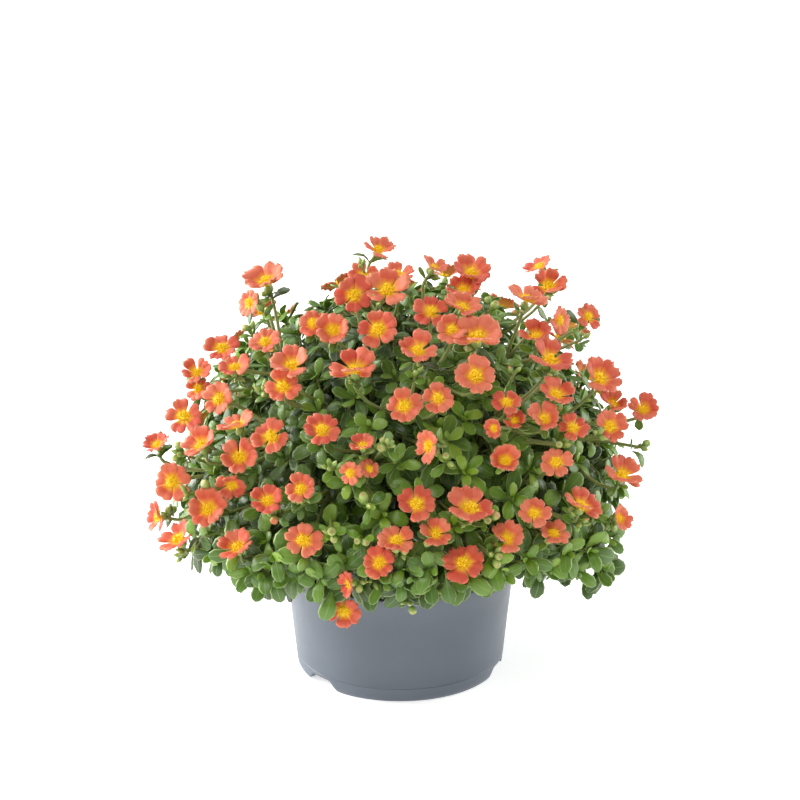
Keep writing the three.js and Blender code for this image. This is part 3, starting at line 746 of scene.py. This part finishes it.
def round_form(look, segments, halves, places=None, hollow=0):
    """A round form with a half width for each ring. Its rings can be moved and its tip sunk."""
    piece, rings, grain = ball(segments, len(halves) + 1)
    for x, half, place in zip(rings, halves, places or rings):
        widen(piece, x, half / ball_radius(x), half / ball_radius(x))
        push(piece, lambda point: abs(point.co.x - x) < 1e-3, (place - x, 0, 0))
    push(piece, lambda point: point.co.x > 0.99, (-hollow, 0, 0))
    return Form(piece, look, [(across, along, 0, 0) for across, along, _, _ in grain])


LEAVES = [
    leaf_form(0.1, 0.03, 0.01), leaf_form(0.18, 0.01, -0.03),
    leaf_form(-0.04, 0.05, 0), leaf_form(0.24, 0.02, 0.03),
]
INNER_LEAVES = [leaf_form(0.12, 0.03, 0.02, 6, 5), leaf_form(0.2, 0.02, -0.03, 6, 5)]
OPEN_PETALS = petal_forms(0.12, 0.05, 0.08)
CUPPED_PETALS = petal_forms(0.38, 0.06, 0.06)
# A pointed egg, a seed capsule that has shed its lid, and a thin filament with a fat anther on its end
BUD = round_form("bud", 8, (0.24, 0.4, 0.38, 0.2, 0.07))
CAPSULE = round_form("bud", 8, (0.26, 0.42, 0.5, 0.46, 0.34), hollow=0.28)
STAMEN = round_form("stamen", 4, (0.06, 0.05, 0.19), (0.1, 0.64, 0.86))


def turned(origin, along, outward, roll=0):
    """A frame with its X along one direction and its Z as near as can be to another."""
    x = along.normalized()
    y = outward.cross(x)
    if y.length < 1e-4:
        y = RIGHT.cross(x)
    y.normalize()
    z = x.cross(y)
    frame_of = Matrix((x, y, z)).transposed().to_4x4()
    frame_of.translation = origin
    return frame_of @ Matrix.Rotation(roll, 4, "X")


class Growth:
    """What one piece of the plant is made of: copies of forms, and stems as smooth round limbs."""

    def __init__(self):
        self.copies = []
        self.limbs = []

    def put(self, form, matrix, size, tint):
        scale = Matrix.Diagonal((*size, 1)) if isinstance(size, tuple) else Matrix.Scale(size, 4)
        self.copies.append((form, matrix @ scale, tint))

    def limb(self, path, thick, thin):
        self.limbs.append((path, thick, thin))

    def copies_piece(self, name):
        forms = list(dict.fromkeys(form for form, _, _ in self.copies))
        looks = list(dict.fromkeys(form.look for form in forms))
        blocks, count = [], 0
        for form in forms:
            members = [copy for copy in self.copies if copy[0] is form]
            matrices = np.array([matrix for _, matrix, _ in members])
            placed = np.einsum("nij,vj->nvi", matrices[:, :3, :3], form.points) + matrices[:, None, :3, 3]
            starts = count + np.arange(len(members))[:, None] * len(form.points)
            sizes = np.tile(form.sizes, len(members))
            grain = np.tile(form.grain, (len(members), 1))
            grain[:, 2] = np.repeat([tint for _, _, tint in members], len(form.points))
            looks_used = np.full(len(sizes), looks.index(form.look))
            corners = (form.corners + starts).ravel()
            blocks.append((placed.reshape(-1, 3), corners, sizes, looks_used, grain))
            count += len(grain)
        return mesh_piece(name, looks, *map(np.concatenate, zip(*blocks)))

    def limbs_piece(self, name):
        curve = bpy.data.curves.new(name, "CURVE")
        curve.dimensions = "3D"
        curve.bevel_depth = MM
        curve.bevel_resolution = 1
        curve.resolution_u = 4
        curve.use_fill_caps = True
        for path, thick, thin in self.limbs:
            spline = curve.splines.new("BEZIER")
            spline.bezier_points.add(len(path) - 1)
            for i, (bead, point) in enumerate(zip(spline.bezier_points, path)):
                bead.co = point * MM + POT_AXIS
                bead.handle_left_type = bead.handle_right_type = "AUTO"
                bead.radius = thick + (thin - thick) * i / (len(path) - 1)
        curve.materials.append(LOOKS["stem"])
        select_only(add_object(name, curve))
        bpy.ops.object.convert(target="MESH")
        return bpy.context.object

    def build(self, node, ending, slot):
        limbs = self.limbs_piece(node + "_limbs")
        select_only(self.copies_piece(node + ending), limbs)
        bpy.ops.object.join()
        finish_piece(bpy.context.object, node)


def mesh_piece(name, looks, points, corners, sizes, looks_used, grain):
    mesh = bpy.data.meshes.new(name)
    mesh.vertices.add(len(points))
    mesh.vertices.foreach_set("co", (points * MM + np.array(POT_AXIS)).astype(np.float32).ravel())
    mesh.loops.add(len(corners))
    mesh.loops.foreach_set("vertex_index", corners.astype(np.int32))
    mesh.polygons.add(len(sizes))
    mesh.polygons.foreach_set("loop_start", (np.cumsum(sizes) - sizes).astype(np.int32))
    mesh.polygons.foreach_set("material_index", looks_used.astype(np.int32))
    mesh.polygons.foreach_set("use_smooth", np.ones(len(sizes), dtype=bool))
    mesh.update(calc_edges=True)
    blade = mesh.attributes.new("grain", "FLOAT_VECTOR", "POINT").data
    blade.foreach_set("vector", grain[:, :3].astype(np.float32).ravel())
    under = mesh.attributes.new("under", "FLOAT", "POINT").data
    under.foreach_set("value", grain[:, 3].astype(np.float32))
    for look in looks:
        mesh.materials.append(LOOKS[look])
    return add_object(name, mesh)


def finish_piece(piece, node):
    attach(piece, "root")
    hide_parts(node)


# Leaves and blooms

def on_grid(point):
    away = point - EYE
    depth = away.dot(EYE_FORWARD)
    column = GRID_MIDDLE + FOCUS * away.dot(RIGHT) / depth
    row = GRID_MIDDLE - FOCUS * away.dot(EYE_UP) / depth
    return column, row, depth


BUD_POINTS = [(fringe_point if place[1] > HANGING_ROW else mound_hit)(*place) for place in BUD_HEADS]
BLOOM_CENTRES, BLOOM_FACINGS, BLOOM_RADII, _ = (np.array(values) for values in zip(*BLOOMS))
KEPT_CLEAR = np.array(
    [(*row[:4], on_grid(bloom.centre)[2]) for row, bloom in zip(FRONT_BLOOMS, BLOOMS)]
    + [(*place, BUD_ROOM, BUD_ROOM, on_grid(point)[2]) for place, point in zip(BUD_HEADS, BUD_POINTS)]
)


def is_free(point):
    """Whether a leaf may reach a point: it is clear of the pot, and doesn't pierce or hide a bloom."""
    if point.z < POT_HEIGHT + RIM_HEADROOM and math.hypot(point.x, point.y) < RIM_RADIUS + RIM_ROOM:
        return False
    away = np.array(point) - BLOOM_CENTRES
    height = (away * BLOOM_FACINGS).sum(axis=1)
    flat = np.sqrt(np.maximum((away**2).sum(axis=1) - height**2, 0))
    below, above = BLOOM_ROOM
    if np.any((flat < BLOOM_RADII * BLOOM_SHARE) & (height > below) & (height < above)):
        return False
    column, row, depth = on_grid(point)
    offset = ((column - KEPT_CLEAR[:, 0]) / KEPT_CLEAR[:, 2]) ** 2
    offset += ((row - KEPT_CLEAR[:, 1]) / KEPT_CLEAR[:, 3]) ** 2
    return not np.any((offset < OUTLINE_SHARE**2) & (depth < KEPT_CLEAR[:, 4] - 1))


def below_foot(point):
    """How far below the lower edge of the leaves a point lies, in rows of the grid."""
    column, row, _ = on_grid(point)
    return row - np.interp(column, *zip(*FOOT_LINE))


def fullness(point):
    """How much further out than elsewhere the leaves stand at a point of the front, below zero in hollows.
    It also sets painted light there, and painted shade in hollows.
    """
    if mound_normal(point).dot((EYE - point).normalized()) < 0:
        return 0
    column, row, _ = on_grid(point)
    return sum(
        fullness_weight * math.exp(-((column - x) ** 2 + (row - y) ** 2) / radius**2)
        for x, y, radius, fullness_weight in FULL_AND_HOLLOW_PLACES
    )


def level_side(direction):
    """A level direction across another one."""
    side = direction.cross(UP)
    return side.normalized() if side.length > 0.05 else RIGHT.copy()


def around_axis(axis, turn):
    """A direction square to an axis, by its turn round it."""
    return Quaternion(axis, turn) @ level_side(axis)


def add_leaf(growth, root, along, outward, size, draw, tint, forms=LEAVES):
    length = LEAF_LENGTH * size
    along = along.normalized()
    tip = root + along * length
    if below_foot(tip) > draw.choice(TIP_PLAY):
        return
    if not (is_free(tip) and is_free(root + along * 0.6 * length)):
        return
    width = LEAF_WIDTH * size * draw.uniform(0.72, 1.1)
    # Painted shade: leaves deep in the mound and low down are darkened
    lowness = max(1 - (root.z - COMPOST_TOP) / (MOUND_LEVEL - COMPOST_TOP), 0)
    tint -= DEEP_SHADE * max(SHADE_START - mound_depth(root), 0) + LOW_SHADE * lowness
    # Painted light where the leaves stand out, painted shade in hollows
    tint += FULLNESS_PAINTED_LIGHT * fullness(root)
    matrix = turned(root, along, outward, draw.uniform(-0.3, 0.3))
    growth.put(draw.choice(forms), matrix, (length, width, length * 0.9), min(max(tint, 0), 1))


def add_whorl(growth, tip, outward, size, count, draw, forms=LEAVES):
    """A rosette of leaves, small and steep in the middle and large and flat outside."""
    start = draw.uniform(0, 2 * math.pi)
    for k in range(count):
        share = k / (count - 1)
        lift = math.radians(70 - 62 * share**0.7 + draw.uniform(-10, 10))
        around = around_axis(outward, start + GOLDEN_ANGLE * k)
        along = around * math.cos(lift) + outward * math.sin(lift)
        root = tip - outward * (0.5 + 6 * share * size) + around * 0.6
        grown = size * (0.42 + 0.58 * share**0.5) * draw.uniform(0.85, 1.1)
        tint = 0.9 - 0.6 * share + draw.uniform(-0.25, 0.25)
        add_leaf(growth, root, along, outward, grown, draw, tint, forms)


def nearest_stem(growths, tip, share):
    """The piece that carries a tip, and a place by its share of the way from its knee to its end."""
    i = nearest_index(MIDDLES, tip)
    return growths[i], STEMS[i].path[2].lerp(STEMS[i].end, share)


def add_shoot(growths, tip, outward, draw, size=1, count=WHORL_LEAVES, forms=LEAVES):
    """A shoot from the nearest stem to a tip, with leaves on the way and a rosette at its end."""
    growth, start = nearest_stem(growths, tip, draw.uniform(0.25, 0.9))
    growth.limb([start, start.lerp(tip, 0.5) + outward * 3, tip - outward], 1.25, 0.7)
    direction = (tip - start).normalized()
    across = direction.cross(outward)
    side = across.normalized() if across.length > 0.1 else level_side(direction)
    pairs = max(1, int((tip - start).length / 22))
    for k in range(pairs):
        root = start.lerp(tip, 0.35 + 0.55 * (k + draw.random() * 0.6) / pairs)
        around = Quaternion(direction, draw.uniform(0, 6.28)) @ side
        for way in (1, -1):
            along = around * way + direction * draw.uniform(0.3, 0.9)
            grown = size * draw.uniform(0.75, 1)
            add_leaf(growth, root, along, outward, grown, draw, draw.uniform(0, 0.5), forms)
    add_whorl(growth, tip, outward, size, count, draw, forms)


def add_hanging_leaf(growths, place, tip_place, draw):
    root = fringe_point(*place)
    sight = sight_line(*tip_place)
    tip = EYE + sight * (root - EYE).dot(EYE_FORWARD) / sight.dot(EYE_FORWARD)
    growth = growths[nearest_index(MIDDLES, root)]
    outward = (leaf_facing(root) + Vector((0, -0.6, 0.2))).normalized()
    growth.limb([root - outward * 14 + UP * 8, root + UP * 3, root.lerp(tip, 0.06)], 1.1, 0.7)
    length = (tip - root).length
    matrix = turned(root, tip - root, outward, draw.uniform(-0.4, 0.4))
    form, width = draw.choice(LEAVES), 0.6 * length * draw.uniform(0.9, 1.1)
    growth.put(form, matrix, (length, width, length), draw.uniform(0.1, 0.5))


def add_buds(growth, root, outward, count, draw, size=1.0):
    """A cluster of buds and open capsules on short stalks."""
    start = draw.uniform(0, 2 * math.pi)
    for k in range(count):
        lean = math.radians(16 + 40 * math.sqrt(k / count))
        around = around_axis(outward, start + GOLDEN_ANGLE * k)
        along = (around * math.sin(lean) + outward * math.cos(lean)).normalized()
        head = root + along * draw.uniform(2, 4.5) * size
        growth.limb([root - outward * 2, root, head + along], 0.9, 1.0)
        length = size * draw.uniform(5.5, 8)
        form, wide = (CAPSULE, 0.85) if draw.random() < 0.3 else (BUD, 0.72)
        matrix = turned(head, along, level_side(outward))
        growth.put(form, matrix, (length, wide * length, wide * length), draw.random())


def add_bud_head(growths, head, draw):
    growth, start = nearest_stem(growths, head, 0.9)
    outward = leaf_facing(head)
    root = head - outward * 5
    growth.limb([start, start.lerp(root, 0.5) + outward * 4, root], 1.5, 1.2)
    add_buds(growth, root, outward, draw.choice((2, 3, 3, 4)), draw)
    add_whorl(growth, root - outward * 3, outward, 0.6, 5, draw)


def add_petals(growth, bloom, draw):
    centre, facing, radius, slim = bloom
    petals = CUPPED_PETALS if slim or draw.random() < 0.25 else OPEN_PETALS
    start = draw.uniform(0, 2 * math.pi)
    tint = draw.random()
    for k in range(5):
        around = around_axis(facing, start + 2 * math.pi * k / 5 + draw.uniform(-0.13, 0.13))
        tilt = draw.uniform(-0.2, 0.36)
        along = around * math.cos(tilt) + facing * math.sin(tilt)
        size = radius * draw.uniform(0.8, 0.98)
        wide = size * draw.uniform(0.78, 1.01)
        petal_tint = min(max(tint + draw.uniform(-0.36, 0.36), 0), 1)
        growth.put(draw.choice(petals), turned(centre, along, facing), (size, wide, size), petal_tint)


def add_stamens(growth, bloom, draw):
    centre, facing, radius, _ = bloom
    for k in range(STAMENS):
        lean = math.radians(76 * math.sqrt((k + 0.5) / STAMENS) + draw.uniform(-6, 6))
        around = around_axis(facing, GOLDEN_ANGLE * k)
        along = around * math.sin(lean) + facing * math.cos(lean)
        growth.put(STAMEN, turned(centre, along, around), radius * draw.uniform(0.22, 0.36), 0.5)


def add_bloom(growth, bloom, base, draw):
    """A bloom on its stalk, with a green base, a collar of small leaves and a few buds below it."""
    centre, facing, radius, _ = bloom
    rise = centre - base
    bend = centre - facing * 0.3 * rise.length * (0.5 + 0.5 * max(facing.dot(rise.normalized()), 0))
    growth.limb([base, bend, centre - facing * 0.3 * radius], 1.5, 1.3)
    growth.put(BUD, turned(centre - facing * 0.42 * radius, facing, level_side(facing)), 0.5 * radius, 0.2)
    add_petals(growth, bloom, draw)
    add_stamens(growth, bloom, draw)
    collar = centre - facing * (0.45 * radius + 2)
    add_whorl(growth, collar, facing, draw.uniform(0.5, 0.75), 5, draw)
    if draw.random() < 0.65:
        around = around_axis(facing, draw.uniform(0, 6.28))
        add_buds(growth, collar, (around + facing * 0.2).normalized(), 3, draw, 0.85)


def shoot_share(climb, turn):
    """How far out the leaves reach: the blooms stand above them, most of all over the top and sides."""
    return 0.92 - 0.17 * max(climb, 0) - 0.07 * (1 - climb * climb) * math.sin(turn) ** 2


def spiral(count, top, foot, start=0):
    """Even places over the mound from top to foot, as climb and turn."""
    return [(top - (top - foot) * (i + 0.5) / count, GOLDEN_ANGLE * i + start) for i in range(count)]


def add_shoots(growths, draw):
    for climb, turn in spiral(*OUTER_SHOOTS):
        turn += draw.uniform(-0.06, 0.06)
        share = shoot_share(climb, turn) - draw.uniform(0, 0.06)
        tip = mound_point(climb, turn, share + FULLNESS_REACH * fullness(mound_point(climb, turn, share)))
        if below_foot(tip) < -OUTER_MARGIN:
            add_shoot(growths, tip, leaf_facing(tip), draw, 1.02 - 0.16 * climb)
    for climb, turn in spiral(*INNER_SHOOTS):
        tip = mound_point(climb, turn, draw.uniform(*INNER_REACH))
        if below_foot(tip) < -INNER_MARGIN:
            add_shoot(growths, tip, leaf_facing(tip), draw, 1.12, 6, INNER_LEAVES)
    for climb, turn in spiral(*CORE_SHOOTS):
        tip = mound_point(climb, turn, draw.uniform(*CORE_REACH))
        add_shoot(growths, tip, leaf_facing(tip), draw, 1.35, 6, INNER_LEAVES)
    for place in FRINGE:
        tip = fringe_point(*place)
        outward = (leaf_facing(tip) + Vector((0, -0.5, 0.1))).normalized()
        add_shoot(growths, tip, outward, draw, 1.08, 7)
    for places in HANGING_LEAVES:
        add_hanging_leaf(growths, *places, draw)
    for head in BUD_POINTS:
        add_bud_head(growths, head, draw)


def add_sprays(growths):
    groups = [[] for _ in STEMS]
    for index, bloom in enumerate(BLOOMS):
        groups[nearest_index(MIDDLES, bloom.centre)].append((index, bloom))
    for growth, stem, group in zip(growths, STEMS, groups):
        end, heading = stem.end, stem.heading
        group.sort(key=lambda item: (item[1].centre - end).normalized().dot(heading))
        last = PEDUNCLE_START + STALK_SPACING * (len(group) - 1) + 1.2
        growth.limb([end + heading * 0.3, end + heading * last], 1.5, 1.3)
        for k, (index, bloom) in enumerate(group):
            base = end + heading * (PEDUNCLE_START + STALK_SPACING * k)
            add_bloom(growth, bloom, base, random.Random(BLOOM_SEED + index))


def plant():
    stems = [Growth() for _ in STEMS]
    sprays = [Growth() for _ in STEMS]
    for growth, stem in zip(stems, STEMS):
        growth.limb(stem.path, 1.75, 1.5)
    add_sprays(sprays)
    add_shoots(stems, random.Random(LEAF_SEED))
    for number, (stem, spray) in enumerate(zip(stems, sprays), 1):
        stem.build(f"leafy_stem_{number:02d}", "_grown", "leaf_green")
        spray.build(f"spray_{number:02d}", "_in_bloom", "petal_coral")


# Pot and compost

def outer_radius(height):
    climb = (height - CORNER_RISE) / (POT_HEIGHT - CORNER_RISE)
    return BASE_RADIUS + (WALL_TOP_RADIUS - BASE_RADIUS) * climb


def spun(name, profile, steps):
    """A round piece, spun from its profile of radius and height."""
    mesh = bpy.data.meshes.new(name)
    points = [(radius * MM, 0, height * MM) for radius, height in profile]
    mesh.from_pydata(points, [(i, i + 1) for i in range(len(points) - 1)], [])
    piece = add_object(name, mesh)
    select_only(piece)
    mode("EDIT")
    bpy.ops.mesh.select_all(action="SELECT")
    bpy.ops.mesh.spin(steps=steps, angle=2 * math.pi, center=(0, 0, 0), axis=(0, 0, 1))
    bpy.ops.mesh.select_all(action="SELECT")
    bpy.ops.mesh.remove_doubles(threshold=1e-6)
    bpy.ops.mesh.normals_make_consistent(inside=False)
    mode("OBJECT")
    return piece


def arc(centre, radius, start, stop, steps=4):
    angles = [math.radians(start + (stop - start) * i / steps) for i in range(steps + 1)]
    return [(centre[0] + radius * math.cos(a), centre[1] + radius * math.sin(a)) for a in angles]


def pot():
    lip = POT_HEIGHT - RIM_DEPTH
    inside = FOOT_RADIUS - FOOT_WIDTH
    corner = [
        (FOOT_RADIUS + (BASE_RADIUS - FOOT_RADIUS) * math.sin(a), CORNER_RISE * (1 - math.cos(a)))
        for a in (math.radians(90 * i / 6) for i in range(7))
    ]
    inner_top = outer_radius(POT_HEIGHT) - WALL
    crease = [
        (outer_radius(CREASE + rise) - dip, CREASE + rise)
        for rise, dip in ((-0.4, 0), (0, 0.3), (0.4, -0.15), (0.9, 0))
    ]
    wall = [(outer_radius(height), height) for height in (30, 55, lip - 12)]
    flare = [(outer_radius(lip - 7) + 0.5, lip - 7), (outer_radius(lip) + 1.7, lip)]
    profile = [
        (0, FLOOR_HEIGHT), (inside - 1.5, FLOOR_HEIGHT), (inside, FLOOR_HEIGHT - 1.5), (inside, 0.3),
        (inside + 0.3, 0), (FOOT_RADIUS - 0.3, 0), *corner[1:], *crease, *wall, *flare,
        (RIM_RADIUS - 0.3, POT_HEIGHT - 4), *arc((RIM_RADIUS - 1.2, POT_HEIGHT - 1.2), 1.2, 0, 90),
        *arc((inner_top + 0.8, POT_HEIGHT - 0.8), 0.8, 90, 180),
        (outer_radius(60) - WALL, 60), (outer_radius(FLOOR_HEIGHT + 4) - WALL, FLOOR_HEIGHT + 4),
        (outer_radius(FLOOR_HEIGHT) - WALL - 2, FLOOR_HEIGHT + WALL), (0, FLOOR_HEIGHT + WALL),
    ]
    piece = spun("pot_moulded", profile, POT_STEPS)
    cutters = [foot_gap_cutter(angle) for angle in FOOT_GAP_ANGLES]
    for i in range(DRAIN_HOLES):
        turn = 2 * math.pi * (i + 0.5) / DRAIN_HOLES
        ring, height = DRAIN_RING * MM, (FLOOR_HEIGHT + WALL / 2) * MM
        bpy.ops.mesh.primitive_cylinder_add(
            vertices=24, radius=DRAIN_RADIUS * MM, depth=4 * WALL * MM,
            location=(ring * math.cos(turn), ring * math.sin(turn), height),
        )
        cutters.append(bpy.context.object)
    for cutter in cutters:
        cut = piece.modifiers.new("cut", "BOOLEAN")
        cut.operation, cut.solver, cut.object = "DIFFERENCE", "EXACT", cutter
        select_only(piece)
        bpy.ops.object.modifier_apply(modifier=cut.name)
        bpy.data.objects.remove(cutter)
    edges = piece.modifiers.new("soft edges", "BEVEL")
    edges.width, edges.segments = 0.0005, 2
    edges.limit_method, edges.angle_limit = "ANGLE", math.radians(50)
    bpy.ops.object.modifier_apply(modifier=edges.name)
    bpy.ops.object.shade_smooth_by_angle(angle=math.radians(32))
    piece.data.transform(Matrix.Translation(POT_AXIS))
    piece.data.materials.append(pot_look())
    finish_piece(piece, "pot")


def foot_gap_cutter(angle):
    """A block with the outline of the arched gap between two feet."""
    half, outer = FOOT_GAP_WIDTH / 2, FOOT_GAP_WIDTH / 2 + FOOT_GAP_SHOULDER
    bends = (outer, 0), (half + 1, 0), (half + 1, FOOT_GAP_HEIGHT), (half - 5, FOOT_GAP_HEIGHT)
    rise = [bezier(*bends, i / 10) for i in range(11)]
    outline = [(outer, -2)] + rise + [(-x, z) for x, z in reversed(rise)] + [(-outer, -2)]
    near, far = -(FOOT_RADIUS - FOOT_WIDTH - 8) * MM, -(FOOT_RADIUS + 12) * MM
    points = [(x * MM, y, z * MM) for y in (near, far) for x, z in outline]
    count = len(outline)
    faces = [list(range(count)), list(range(2 * count - 1, count - 1, -1))]
    faces += [[i, i + count, (i + 1) % count + count, (i + 1) % count] for i in range(count)]
    mesh = bpy.data.meshes.new("foot gap")
    mesh.from_pydata(points, [], faces)
    mesh.transform(Matrix.Rotation(math.radians(angle), 4, "Z"))
    cutter = add_object("foot gap", mesh)
    select_only(cutter)
    mode("EDIT")
    bpy.ops.mesh.select_all(action="SELECT")
    bpy.ops.mesh.normals_make_consistent(inside=False)
    mode("OBJECT")
    return cutter


def bezier(a, b, c, d, t):
    weights = ((1 - t) ** 3, 3 * t * (1 - t) ** 2, 3 * t * t * (1 - t), t**3)
    return tuple(sum(w * p[k] for w, p in zip(weights, (a, b, c, d))) for k in (0, 1))


def compost():
    """The fill of the pot, with a crumbly top that is a little hollow in the middle."""
    low = FLOOR_HEIGHT + WALL + 0.3
    edge = outer_radius(COMPOST_TOP) - WALL - 0.6
    rings = [(edge * k / 30, COMPOST_TOP + 0.6 - 1.2 * (1 - k / 30)) for k in range(30, -1, -1)]
    profile = [(0, low), (outer_radius(low) - WALL - 0.6, low), *rings]
    piece = spun("compost_fill", profile, COMPOST_STEPS)
    for vertex in piece.data.vertices:
        at = vertex.co / MM
        if at.z > COMPOST_TOP - 2 and at.xy.length < edge - 1:
            flat = at.xy.to_3d()
            vertex.co.z += MM * sum(high * noise.noise(flat / wide) for high, wide in CRUMBS)
    select_only(piece)
    bpy.ops.object.shade_smooth()
    piece.data.transform(Matrix.Translation(POT_AXIS))
    piece.data.materials.append(compost_look())
    finish_piece(piece, "compost")


# Floor, light and camera

WHITE = (1, 1, 1, 1)
FLOOR_COLOUR = (0.9, 0.9, 0.9, 1)
FLOOR_GLOW = 0.6
WORLD_LIGHT = 0.26
KEY_LIGHT = 1.47
SHEETS = (
    ("left sheet", (-1.9, 0.6, 0.8), 78), ("right sheet", (1.9, 0.6, 0.8), 28),
    ("top sheet", (-0.2, 1.3, 1.7), 12),
)


def studio():
    bpy.ops.mesh.primitive_plane_add(size=30)
    floor = bpy.context.object
    floor.name = "pale floor"
    look = Look("pale floor")
    grain = look.bump(look.speckle(40, 2), 0.02, 0.001)
    pale = look.finish(FLOOR_COLOUR, 0.9, grain, emission_color=WHITE, emission_strength=FLOOR_GLOW)
    floor.data.materials.append(pale)
    world = bpy.data.worlds.new("soft studio")
    bpy.context.scene.world = world
    world.use_nodes = True
    sky = world.node_tree.nodes["Background"].inputs
    sky["Color"].default_value = WHITE
    sky["Strength"].default_value = WORLD_LIGHT
    key = add_light("key", "SUN", KEY_LIGHT)
    key.data.angle = math.radians(42)
    key.rotation_euler = (math.radians(40), 0, math.radians(-32))
    for name, place, power in SHEETS:
        sheet = add_light(name, "AREA", power)
        sheet.data.shape, sheet.data.size, sheet.data.size_y = "RECTANGLE", 1.2, 1.6
        sheet.location = place
        sheet.rotation_euler = (Vector((0, 0, 0.1)) - sheet.location).to_track_quat("-Z", "Y").to_euler()


def add_light(name, kind, power):
    light = bpy.data.lights.new(name, kind)
    light.energy = power
    return add_object(name, light)


def camera():
    lens = bpy.data.cameras.new("front view")
    lens.sensor_width = 36
    lens.lens = FOCUS * lens.sensor_width / (2 * GRID_MIDDLE)
    lens.clip_end = 100
    eye = add_object("front view", lens)
    eye.location = EYE * MM + POT_AXIS
    eye.rotation_euler = (math.pi / 2 - EYE_PITCH, 0, 0)
    bpy.context.scene.camera = eye
    bpy.context.scene.view_settings.view_transform = "Standard"


camera()
studio()
pot()
compost()
plant()
